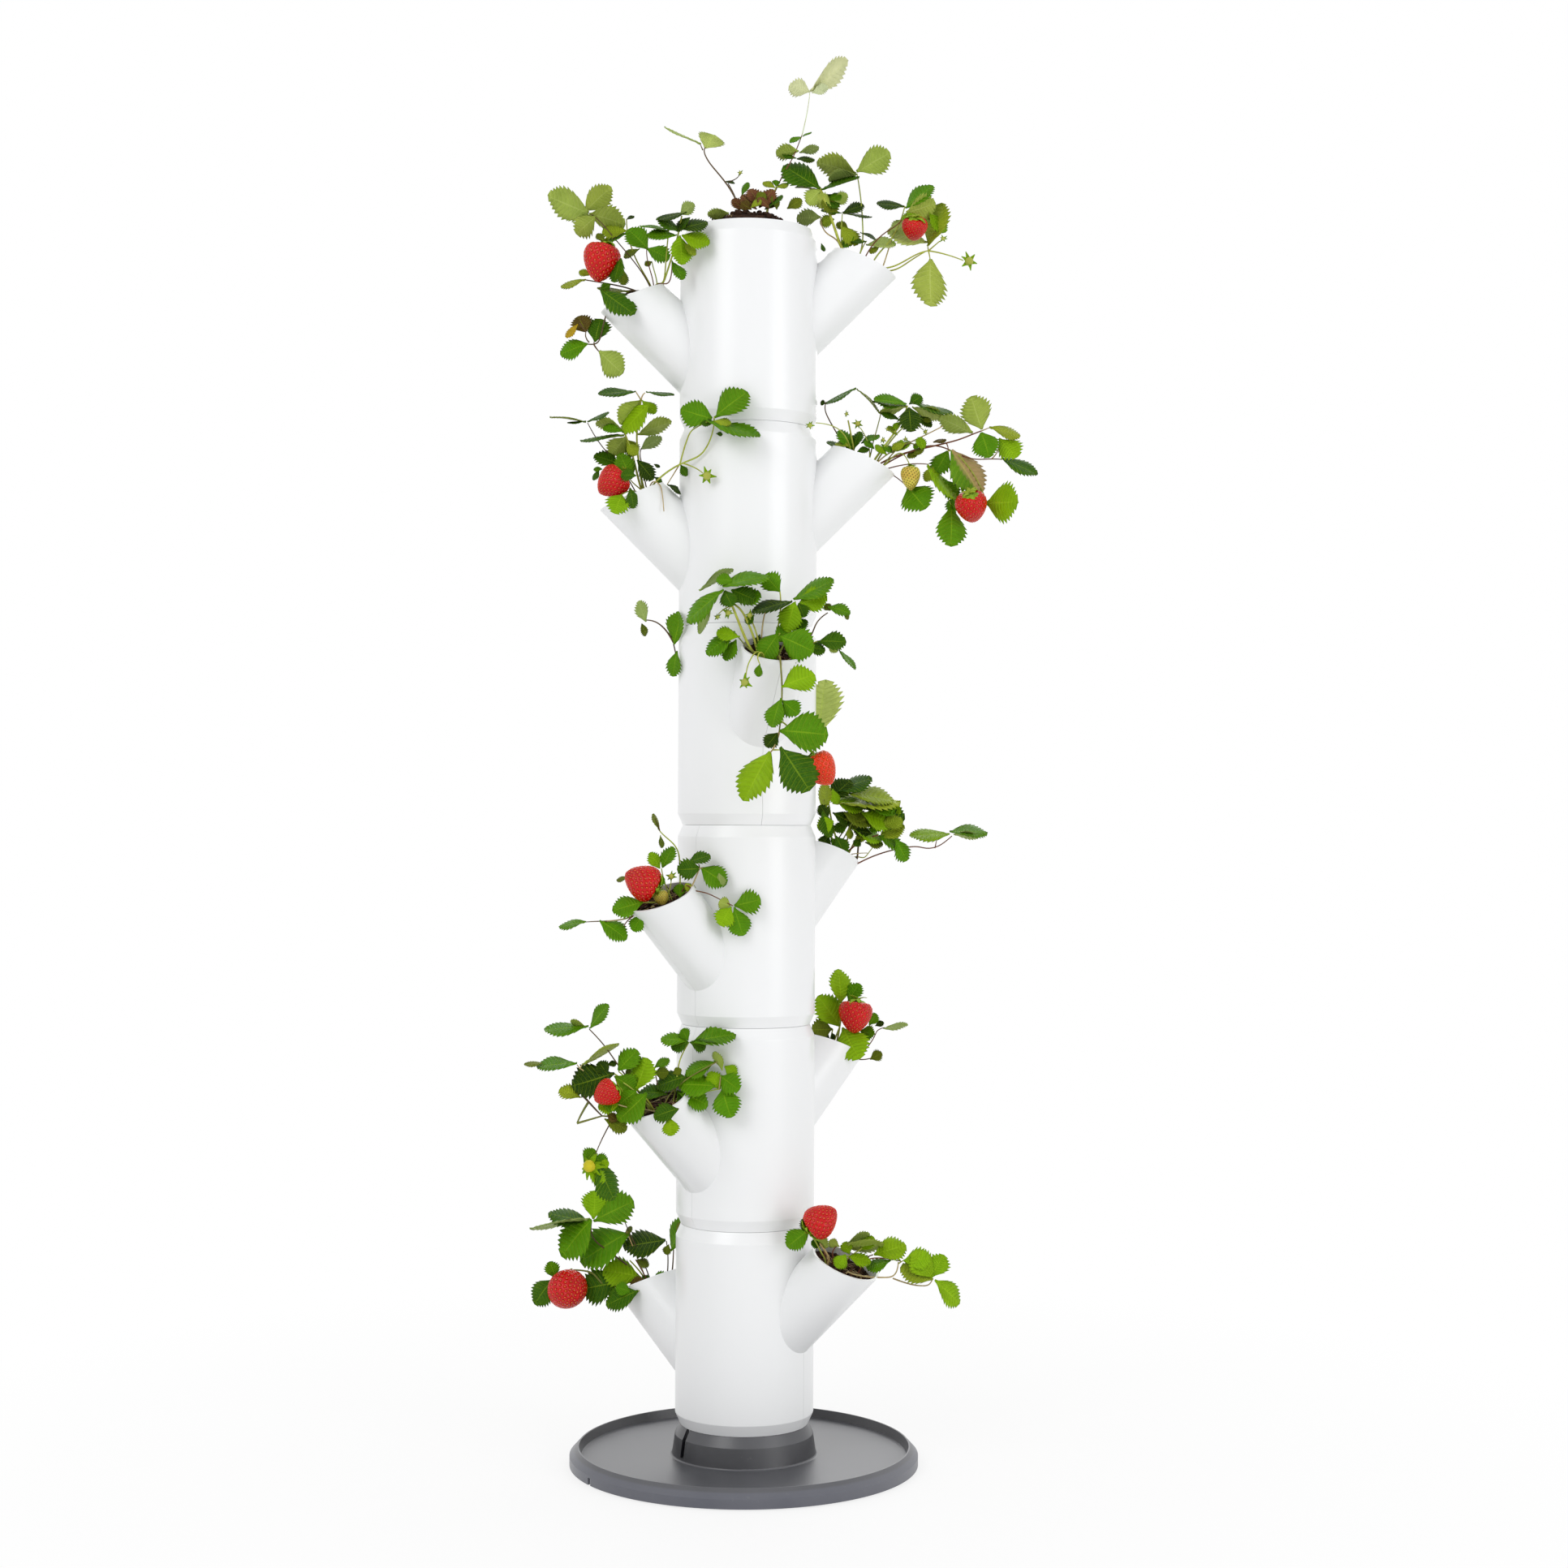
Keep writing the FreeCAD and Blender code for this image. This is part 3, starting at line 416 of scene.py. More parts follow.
def finished(plant, part, bm, materials, replaced=()):
    """The bmesh as a part of one plant, which rides on the body of its tier."""
    name = f"{plant}_{part}"
    mesh = as_mesh(name, bm)
    piece = as_object(name, mesh)
    for material in materials:
        mesh.materials.append(bpy.data.materials[material])
    for polygon in mesh.polygons:
        polygon.use_smooth = True
    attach(piece, body_of(plant))
    if replaced:
        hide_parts(*replaced)
    return piece


def tube(bm, points, radii, colour, sides=8):
    """A smooth round stalk through the points."""
    curve = bpy.data.curves.new("stalk", "CURVE")
    curve.dimensions = "3D"
    curve.bevel_depth = 1
    curve.bevel_resolution = max(0, sides // 4 - 1)
    curve.resolution_u = 6
    curve.use_fill_caps = True
    spline = curve.splines.new("NURBS")
    spline.points.add(len(points) - 1)
    for place, point, radius in zip(spline.points, points, radii):
        place.co = (*point, 1)
        place.radius = radius
    spline.order_u = min(4, len(points))
    spline.use_endpoint_u = True
    piece = bpy.data.objects.new("stalk", curve)
    mesh = bpy.data.meshes.new_from_object(piece)
    start = len(bm.verts)
    bm.from_mesh(mesh)
    bm.verts.ensure_lookup_table()
    tint_verts(bm, bm.verts[start:], colour)
    bpy.data.objects.remove(piece)
    bpy.data.curves.remove(curve)
    bpy.data.meshes.remove(mesh)


def varied(colour, chance, amount=0.12):
    """A colour a little lighter or darker, and a little warmer or cooler."""
    light = 1 + chance.uniform(-amount, amount)
    warm = chance.uniform(-amount, amount) / 2
    r, g, b = tuple(colour)[:3]
    return (r * light * (1 + warm), g * light, b * light * (1 - warm))


# Leaves

# The tones of leaflets: k, d, m, b and l from dark to light green, partly their own green and partly painted
# shade and light, with k for leaflets in deep shade and l for light shining through; y and o yellow and
# olive, g and p the greyish and pale under sides, P a pale under side with painted light shining through it,
# and w, r, Y, B and q the withered and brown ones.
SHADES = {name: linear(code) for name, code in {
    "k": "1f3f02", "d": "356304", "m": "578f04", "b": "8ab60c", "y": "a2b52c", "p": "a8bc50", "P": "f4f8cc",
    "g": "93a85e", "o": "6d7a1c", "w": "5f441c", "r": "7c4434", "Y": "c9a416", "B": "b89a6c", "q": "5c8e14",
    "l": "c6d878",
}.items()}
# Leaves of these shades turn their under side to the photograph's viewer.
UNDER = "pPg"
# The width of a leaflet over its length, with its teeth.
LEAF_SHAPE = 0.88
# Drawn just as they were read, the leaflets showed less green than the photograph does. So each one is
# drawn this much wider and longer than it was read.
WIDER = 1.14
LONGER = 1.05
# Shares of a leaflet's length: how far its ribs sweep ahead, the relief between them, and half its foot.
SWEEP = 0.15
PLEAT = 0.018
FOOT = 0.03
# A leaflet shorter than this, in metres, has fewer teeth.
SMALL_LEAF = 0.028
LEAF_SIDES = ("Leaf Upper Side", "Leaf Under Side")


def clear_of_tube(point):
    """The point, or the nearest one outside the tower's tube."""
    reach = math.hypot(point.x, point.y)
    if reach >= TUBE_ROOM or point.z > TOP:
        return point
    return Vector((point.x * TUBE_ROOM / reach, point.y * TUBE_ROOM / reach, point.z))


def leaf_frame(base, tip_pixel, width, under):
    """A leaflet's length, its direction, its upper side's direction and how open it shows.

    A leaflet that shows wider than its length would make it is tilted in depth, and one that shows
    narrow is rolled about its midrib.
    """
    across = (seen(tip_pixel, base.y) - base) * LONGER
    length = max(across.length, width / LEAF_SHAPE, 0.006)
    depth = math.sqrt(max(length ** 2 - across.length ** 2, 0))
    if (across.z < 0) != under:
        depth = -depth
    along = Vector((across.x, depth, across.z)).normalized()
    sideways = along.cross(Vector((0, 1, 0))).normalized()
    facing = sideways.cross(along).normalized()
    if facing.y > 0:
        facing = -facing
    roll = math.acos(min(1, width / (LEAF_SHAPE * length)))
    normals = [Quaternion(along, turn) @ facing for turn in (roll, -roll)]
    if under:
        normals = [-normal for normal in normals]
    return length, along, max(normals, key=lambda normal: normal.z), math.cos(roll)


def leaflet(bm, sizes, base, tip_pixel, width, shade, chance):
    """One toothed leaflet from its base past its tip's pixel, WIDER and LONGER than it was read."""
    under = shade in UNDER
    length, along, normal, open_share = leaf_frame(base, tip_pixel, width * WIDER * pixel_size(base), under)
    sideways = along.cross(normal).normalized()
    teeth = sizes.teeth if length > SMALL_LEAF else max(4, sizes.teeth - 2)
    rows = 2 * (teeth + 2)
    verts = bmesh.ops.create_grid(bm, x_segments=6, y_segments=rows, size=1, calc_uvs=True)["verts"]
    fold = chance.uniform(0.1, 0.35) * (0.2 + 0.8 * open_share)
    droop = chance.uniform(0.05, 0.2) * (0.4 + 0.6 * open_share)
    curl = chance.uniform(-0.08, 0.08)
    phase = chance.uniform(0, math.tau)
    swell = chance.uniform(1.05, 1.4)
    tooth = chance.uniform(0.09, 0.12) * (sizes.teeth / teeth) ** 0.8
    # The tone carries the painted shade and light of its letter, such as deep shade for k and light shining
    # through for l and P.
    tone = varied(SHADES[shade], chance)
    edge = varied(SHADES["o"], chance)
    layer = bm.verts.layers.float_color["tint"]
    for vert in verts:
        part = abs(vert.co.x)
        side = 1 if vert.co.x > 0 else -1
        s = (vert.co.y + 1) / 2
        row = round(s * rows)
        root = s * 0.96 if row < rows else 1.0
        ahead = min(1.0, root + SWEEP * math.sin(math.pi * s))
        body = 0.52 * LEAF_SHAPE - 0.5 * tooth
        half = body * math.sin(math.pi * ahead ** swell) ** 0.84 if 0 < ahead < 1 else 0.0
        if row == 0:
            half = FOOT
        if row % 2 == 1 and row > 2:
            half += tooth * (1.25 - 0.7 * s)
            ahead += tooth * (1.1 - 0.9 * s)
        x = root + (ahead - root) * part ** 1.3
        y = half * part
        pleat = (PLEAT if row % 2 == 0 else -PLEAT) * math.sin(math.pi * min(part * 0.9, 1))
        z = (fold * y * (1 - 0.8 * part) - droop * x * x * 0.6 + pleat
             + 0.035 * math.sin(phase + 5 * x) * part ** 2)
        vert.co = base + (along * x + sideways * (side * y + curl * x * x) + normal * z) * length
        share = 0.35 * part ** 4 if shade in "oyp" else 0.1 * part ** 4
        colour = [a * (1 - share) + b * share for a, b in zip(tone, edge)]
        if shade == "q" and side < 0:
            colour = SHADES["B"]
        vert[layer] = rgba(colour)
    bmesh.ops.remove_doubles(bm, verts=verts, dist=length * 0.001)


def sepals(bm, centre, axis, count, length, width, spread, tone, chance):
    """A ring of narrow pointed sepals round an axis. spread is their angle from it, in degrees."""
    side = axis.orthogonal().normalized()
    layer = bm.verts.layers.float_color["tint"]
    for i in range(count):
        turn = Quaternion(axis, math.tau * (i + chance.uniform(-0.3, 0.3)) / count)
        out = turn @ side
        angle = math.radians(spread + chance.uniform(-14, 14))
        reach = length * chance.uniform(0.75, 1.1)
        across = axis.cross(out)
        colour = rgba(varied(tone, chance))
        verts = bmesh.ops.create_grid(bm, x_segments=2, y_segments=4, size=1, calc_uvs=True)["verts"]
        for vert in verts:
            s = (vert.co.y + 1) / 2
            bend = angle + 0.7 * (s - 0.3)
            along = out * math.sin(bend) + axis * math.cos(bend)
            half = 0.5 * width * math.sin(math.pi * min(0.97, s + 0.12)) ** 0.7
            lift = (out * math.cos(bend) - axis * math.sin(bend)) * (0.25 * half * (1 - abs(vert.co.x)))
            vert.co = centre + along * (s * reach) + across * (vert.co.x * half) - lift
            vert[layer] = colour
        bmesh.ops.remove_doubles(bm, verts=verts, dist=length * 0.001)


def mouth_of(name):
    """The centre of a plant's opening and the direction that the opening faces."""
    if name == "crown":
        return Vector((0, 0, TOP)), UP
    tier, pocket = name.split("_")
    bearing = math.radians(TURNS[int(tier[-1])] + (180 if pocket == "low" else 0))
    out = Vector((math.cos(bearing), math.sin(bearing), 0))
    slope = math.radians(MOUTH["slope"])
    centre = out * MOUTH["reach"] * MM + UP * (TIER_FOOT[tier] + MOUTH[pocket] * MM)
    return centre, out * math.sin(slope) + UP * math.cos(slope)


def soil_height(name, reach):
    """How high the soil stands above a plant's opening, that far from its middle."""
    if name != "crown":
        return -MOUTH["soil"] * MM
    share = min(1, reach / (TOP_MOUND["radius"] * MM))
    return (TOP_MOUND["foot"] + (TOP_MOUND["top"] - TOP_MOUND["foot"]) * math.sqrt(1 - share ** 2)) * MM


def bore_of(name):
    """The radius of a plant's opening."""
    return (TOP_MOUND["neck"] if name == "crown" else MOUTH["bore"]) * MM


def spot(name, pixel, depth):
    """The point that shows at a pixel, so many millimetres behind the middle of a plant's opening."""
    return seen(pixel, mouth_of(name)[0].y + depth * MM)


def planted(name, point):
    """The first points of a stalk that grows out of the soil to a point, over the rim where it has to."""
    centre, up = mouth_of(name)
    off = point - centre
    flat = off - up * off.dot(up)
    reach = flat.length
    bore = bore_of(name)
    foot = flat * (min(reach, 0.6 * bore) / reach) if reach > 0 else flat
    level = soil_height(name, foot.length)
    points = [centre + foot + up * (level - 0.004), centre + foot * 1.05 + up * (level + 0.005)]
    if reach > bore:
        points.append(centre + flat.normalized() * (bore - 0.001) + up * 0.007)
    return points


def placed(name, pixels, near, far):
    """Points at pixels of the photograph, whose depth runs from near to far along the way."""
    steps = [math.dist(a, b) for a, b in zip(pixels, pixels[1:])]
    total = sum(steps) or 1
    gone = 0
    points = []
    for pixel, step in zip(pixels, [0] + steps):
        gone += step
        points.append(spot(name, pixel, near + (far - near) * gone / total))
    return points


def leaf_piece(name, plant, settings):
    """All the leaflets of one plant, which stand for its CAD node."""
    chance = random.Random(name)
    bm = tinted_mesh()
    for x, y, tip_x, tip_y, width, shade, *depth in plant["leaflets"]:
        start = len(bm.verts)
        base = spot(name, (x, y), depth[0] if depth else 0)
        leaflet(bm, settings.plants, base, (tip_x, tip_y), width, shade, chance)
        if name != "crown":
            bm.verts.ensure_lookup_table()
            for vert in bm.verts[start:]:
                vert.co = clear_of_tube(vert.co)
    node = "crown_plant" if name == "crown" else name.replace("_", "_plant_")
    thicken(finished(name, "leaves", bm, LEAF_SIDES, (node,)), settings.plants.thickness)


def thicken(piece, thickness):
    """Give a leaf piece its thickness, with the second material on its under side."""
    thick = piece.modifiers.new("Thickness", "SOLIDIFY")
    thick.thickness = thickness
    thick.offset = -1
    thick.material_offset = 1
    thick.use_quality_normals = True


# Stalks

# The tones of stalks: y and o green and olive, P pale with painted light shining through it, r and s red
# and brown, and w straw.
STALK_TONES = {name: linear(code) for name, code in {
    "y": "a9b548", "r": "75482f", "s": "5e4c31", "w": "b7a572", "o": "7c823a", "P": "dce8bc",
}.items()}
# A stalk whose foot shows within this many pixels of the plant's root grows out of the soil.
ROOT_REACH = 45


def stalk_piece(name, plant, settings):
    """The leaf stalks, berry stalks and runners of one plant."""
    chance = random.Random(name + " stalks")
    bm = tinted_mesh()
    for tone, thick, near, far, *pixels in plant["stalks"]:
        points = placed(name, pixels, near, far)
        if name != "crown":
            points = [clear_of_tube(point) for point in points]
        if math.dist(pixels[0], plant["root"]) < ROOT_REACH:
            points = planted(name, points[0]) + points
        radius = settings.plants.stalk * thick
        radii = [radius * (1.25 - 0.45 * i / (len(points) - 1)) for i in range(len(points))]
        tube(bm, points, radii, varied(STALK_TONES[tone], chance))
    finished(name, "stalks", bm, ("Green Stalk",))


# Berries, buds and the flower

# The tone of a berry's flesh, and the tone that its shoulder has in part.
BERRY_TONES = {"red": (linear("d40408"), linear("d81c10")), "orange": (linear("ee3c04"), linear("f47a10")),
               "pale": (linear("e2d456"), linear("ccd05c"))}
SEED = linear("e26a34")
PALE_SEED = linear("8f8a3c")
FLOWER_HEART = linear("cfc32e")
BUD = linear("b9bd58")
# The divisions of a berry's flesh round its axis and along it.
BERRY_GRID = (120, 72)
# The depth of the dimple at a seed, how much painted shade darkens it, and its width and the seed's over the
# gap between two seeds.
DIMPLE = 0.08
DIMPLE_PAINTED_SHADE = 0.4
DIMPLE_WIDTH = 0.34
SEED_WIDTH = 0.15
# How far a crown leans away from the viewer where its row doesn't say.
CROWN_LEAN = 0.12


def berry(bm, seeds_bm, centre, axis, length, breadth, tone, seeds, chance):
    """A berry with a dimple at each seed. axis points from its tip to its crown."""
    side = axis.orthogonal().normalized()
    other = axis.cross(side)

    def surface(angle, turn):
        z = math.cos(angle)
        reach = math.sin(angle) * (0.88 + 0.27 * z) / 0.915
        height = z * 0.5 if z > 0 else z * 0.54
        if z > 0.75:
            height -= (z - 0.75) * 0.35
        wobble = 1 + 0.03 * math.sin(2 * turn + 1) + 0.02 * math.sin(3 * turn)
        return (axis * (height * length) + (side * math.cos(turn) + other * math.sin(turn))
                * (reach * breadth * 0.5 * wobble))

    golden = math.pi * (3 - math.sqrt(5))
    places = []
    for i in range(seeds):
        z = 0.86 - 1.84 * (i + 0.5) / seeds
        places.append((math.acos(max(-1, z)), golden * i))
    points = [surface(*place) for place in places]
    tree = KDTree(seeds)
    for i, point in enumerate(points):
        tree.insert(point, i)
    tree.balance()
    gap = math.sqrt(3.3 * length * breadth / seeds)
    round_it, along_it = BERRY_GRID
    verts = bmesh.ops.create_uvsphere(bm, u_segments=round_it, v_segments=along_it, radius=1)["verts"]
    layer = bm.verts.layers.float_color["tint"]
    for vert in verts:
        direction = vert.co.normalized()
        point = surface(math.acos(max(-1, min(1, direction.z))), math.atan2(direction.y, direction.x))
        distance = tree.find(point)[2] / gap
        dimple = math.exp(-(distance / DIMPLE_WIDTH) ** 2)
        vert.co = centre + point * (1 - DIMPLE * dimple)
        light = max(0, min(1, (direction.z - 0.45) * 1.6)) * 0.7
        flesh = [a * (1 - light) + b * light for a, b in zip(*BERRY_TONES[tone])]
        # Painted shade darkens the flesh in each dimple.
        vert[layer] = rgba([value * (1 - DIMPLE_PAINTED_SHADE * dimple) for value in flesh])
    for point, (angle, turn) in zip(points, places):
        normal = (point - surface(angle + 0.05, turn)).cross(point - surface(angle, turn + 0.05))
        normal = normal.normalized() if normal.dot(point) > 0 else -normal.normalized()
        down = (surface(angle + 0.05, turn) - point).normalized()
        grain = bmesh.ops.create_icosphere(seeds_bm, subdivisions=1, radius=1)["verts"]
        across = normal.cross(down)
        size = gap * SEED_WIDTH
        for vert in grain:
            drop = vert.co.y * size * 1.5 * (1 - 0.25 * vert.co.y)
            vert.co = (centre + point * 0.965 + normal * (vert.co.z * size * 0.6) + down * drop
                       + across * (vert.co.x * size))
        tint_verts(seeds_bm, grain, varied(PALE_SEED if tone == "pale" else SEED, chance))


def berry_piece(name, plant, settings):
    """The berries of one plant with their seeds, and their crowns of sepals as a second piece."""
    chance = random.Random(name + " berries")
    flesh, seeds, crowns = tinted_mesh(), tinted_mesh(), tinted_mesh()
    for x, y, width, height, bearing, tone, depth, *away in plant["berries"]:
        centre = spot(name, (x, y), depth)
        turn = math.radians(bearing)
        lean = away[0] if away else CROWN_LEAN
        axis = LOOK @ Vector((math.sin(turn), math.cos(turn), -lean)).normalized()
        pixel = pixel_size(centre)
        share = abs(math.cos(turn))
        length = (height * share + width * (1 - share)) * pixel
        breadth = (width * share + height * (1 - share)) * pixel
        berry(flesh, seeds, centre, axis, length, breadth, tone, settings.plants.seeds, chance)
        top = centre + axis * (0.4 * length)
        sepals(crowns, top, axis, 11, 0.46 * breadth, 0.2 * breadth, 80, SHADES["b"], chance)
        sepals(crowns, top, axis, 6, 0.3 * breadth, 0.16 * breadth, 40, SHADES["y"], chance)
    start = len(flesh.faces)
    mesh = as_mesh("seeds", seeds)
    flesh.from_mesh(mesh)
    bpy.data.meshes.remove(mesh)
    flesh.faces.ensure_lookup_table()
    for face in flesh.faces[start:]:
        face.material_index = 1
    finished(name, "berries", flesh, ("Ripe Berry Flesh", "Berry Seeds"))
    thicken(finished(name, "berry_crowns", crowns, LEAF_SIDES), settings.plants.thickness)


def bud_piece(name, plant):
    """The closed buds, and any open flower, of one plant."""
    chance = random.Random(name + " buds")
    bm = tinted_mesh()
    for x, y, size, depth, *open_flower in plant["buds"]:
        centre = spot(name, (x, y), depth)
        wide = size * pixel_size(centre)
        axis = Vector((chance.uniform(-0.5, 0.5), -0.8, chance.uniform(-0.6, 0.2))).normalized()
        if open_flower:
            axis = Vector((-0.35, -0.9, 0.1)).normalized()
        radius = wide * (0.3 if open_flower else 0.27)
        heart = bmesh.ops.create_icosphere(bm, subdivisions=3, radius=radius)["verts"]
        for vert in heart:
            rough = noise(vert.co * (9 / wide)) * (0.14 if open_flower else 0.05)
            vert.co = centre + vert.co * (1 + rough)
        tint_verts(bm, heart, FLOWER_HEART if open_flower else varied(BUD, chance))
        sepals(bm, centre - axis * (0.18 * wide), axis, 11 if open_flower else 6, 0.66 * wide, 0.28 * wide,
               75 if open_flower else 42, SHADES["b"], chance)
    finished(name, "buds", bm, LEAF_SIDES[:1])


# Soil

# The gap between the loose soil and the wall of its opening, in metres.
SOIL_GAP = 0.0006
# The divisions of the crust outwards and round, how many crumbs and roots lie on it, and the points that
# a root is laid through.
CRUST_GRID = (26, 72)
CRUMBS = {"crown": 150, "pocket": 60}
ROOTS = 12
ROOT_POINTS = 7


def soil_piece(name, settings):
    """The loose top of the soil in one opening: a rough crust, crumbs and fine roots."""
    chance = random.Random(name + " soil")
    centre, up = mouth_of(name)
    side = up.orthogonal().normalized()
    other = up.cross(side)
    bore = bore_of(name) - SOIL_GAP
    shift = Vector((chance.uniform(0, 90), chance.uniform(0, 90), 0))

    def surface(x, y):
        reach = math.hypot(x, y)
        place = Vector((x, y, 0)) * 1000 + shift
        rough = 0.0011 * noise(place * 0.12) + 0.0009 * noise(place * 0.35) + 0.0005 * noise(place * 0.9)
        edge = max(0, reach / bore - 0.93) * 0.03
        return centre + side * x + other * y + up * (soil_height(name, reach) + 0.0012 + rough - edge)

    bm = tinted_mesh()
    rings, steps = CRUST_GRID
    row = [bm.verts.new((bore * i / rings, 0, 0)) for i in range(rings + 1)]
    edges = [bm.edges.new(pair) for pair in zip(row, row[1:])]
    bmesh.ops.spin(bm, geom=row + edges, cent=(0, 0, 0), axis=(0, 0, 1), angle=math.tau, steps=steps,
                   use_merge=True)
    bmesh.ops.remove_doubles(bm, verts=bm.verts, dist=bore * 0.001)
    bmesh.ops.recalc_face_normals(bm, faces=bm.faces)
    if sum(face.normal.z for face in bm.faces) < 0:
        bmesh.ops.reverse_faces(bm, faces=bm.faces)
    for vert in bm.verts:
        vert.co = surface(vert.co.x, vert.co.y)
    for i in range(CRUMBS["crown" if name == "crown" else "pocket"]):
        reach = bore * 0.92 * math.sqrt(chance.random())
        turn = chance.uniform(0, math.tau)
        size = settings.soil.crumb * chance.uniform(0.14, 0.55) * (1.5 if name == "crown" else 1)
        crumb = bmesh.ops.create_icosphere(bm, subdivisions=2, radius=size)["verts"]
        at = surface(reach * math.cos(turn), reach * math.sin(turn)) + up * size * 0.35
        for vert in crumb:
            vert.co = at + vert.co * (1 + 0.55 * noise(vert.co * (1.1 / size) + Vector((i, 0, 0))))
    start = len(bm.faces)
    for i in range(ROOTS):
        turn = chance.uniform(0, math.tau)
        heading = turn + chance.uniform(2.2, 4.1)
        x, y = (bore * chance.uniform(0.3, 0.9) * share for share in (math.cos(turn), math.sin(turn)))
        points = []
        for step in range(ROOT_POINTS):
            if math.hypot(x, y) < bore * 0.93:
                points.append(surface(x, y) + up * chance.uniform(0.0002, 0.0016))
            heading += chance.uniform(-0.5, 0.5)
            x += bore * 0.2 * math.cos(heading)
            y += bore * 0.2 * math.sin(heading)
        if len(points) > 2:
            radius = settings.soil.root * chance.uniform(0.6, 1.3)
            tube(bm, points, [radius * (1 - 0.1 * j) for j in range(len(points))],
                 varied(STALK_TONES["w"] if i % 3 else STALK_TONES["r"], chance), sides=4)
    bm.faces.ensure_lookup_table()
    for face in bm.faces[start:]:
        face.material_index = 1
    finished(name, "soil_top", bm, ("Potting Soil", "Green Stalk"))
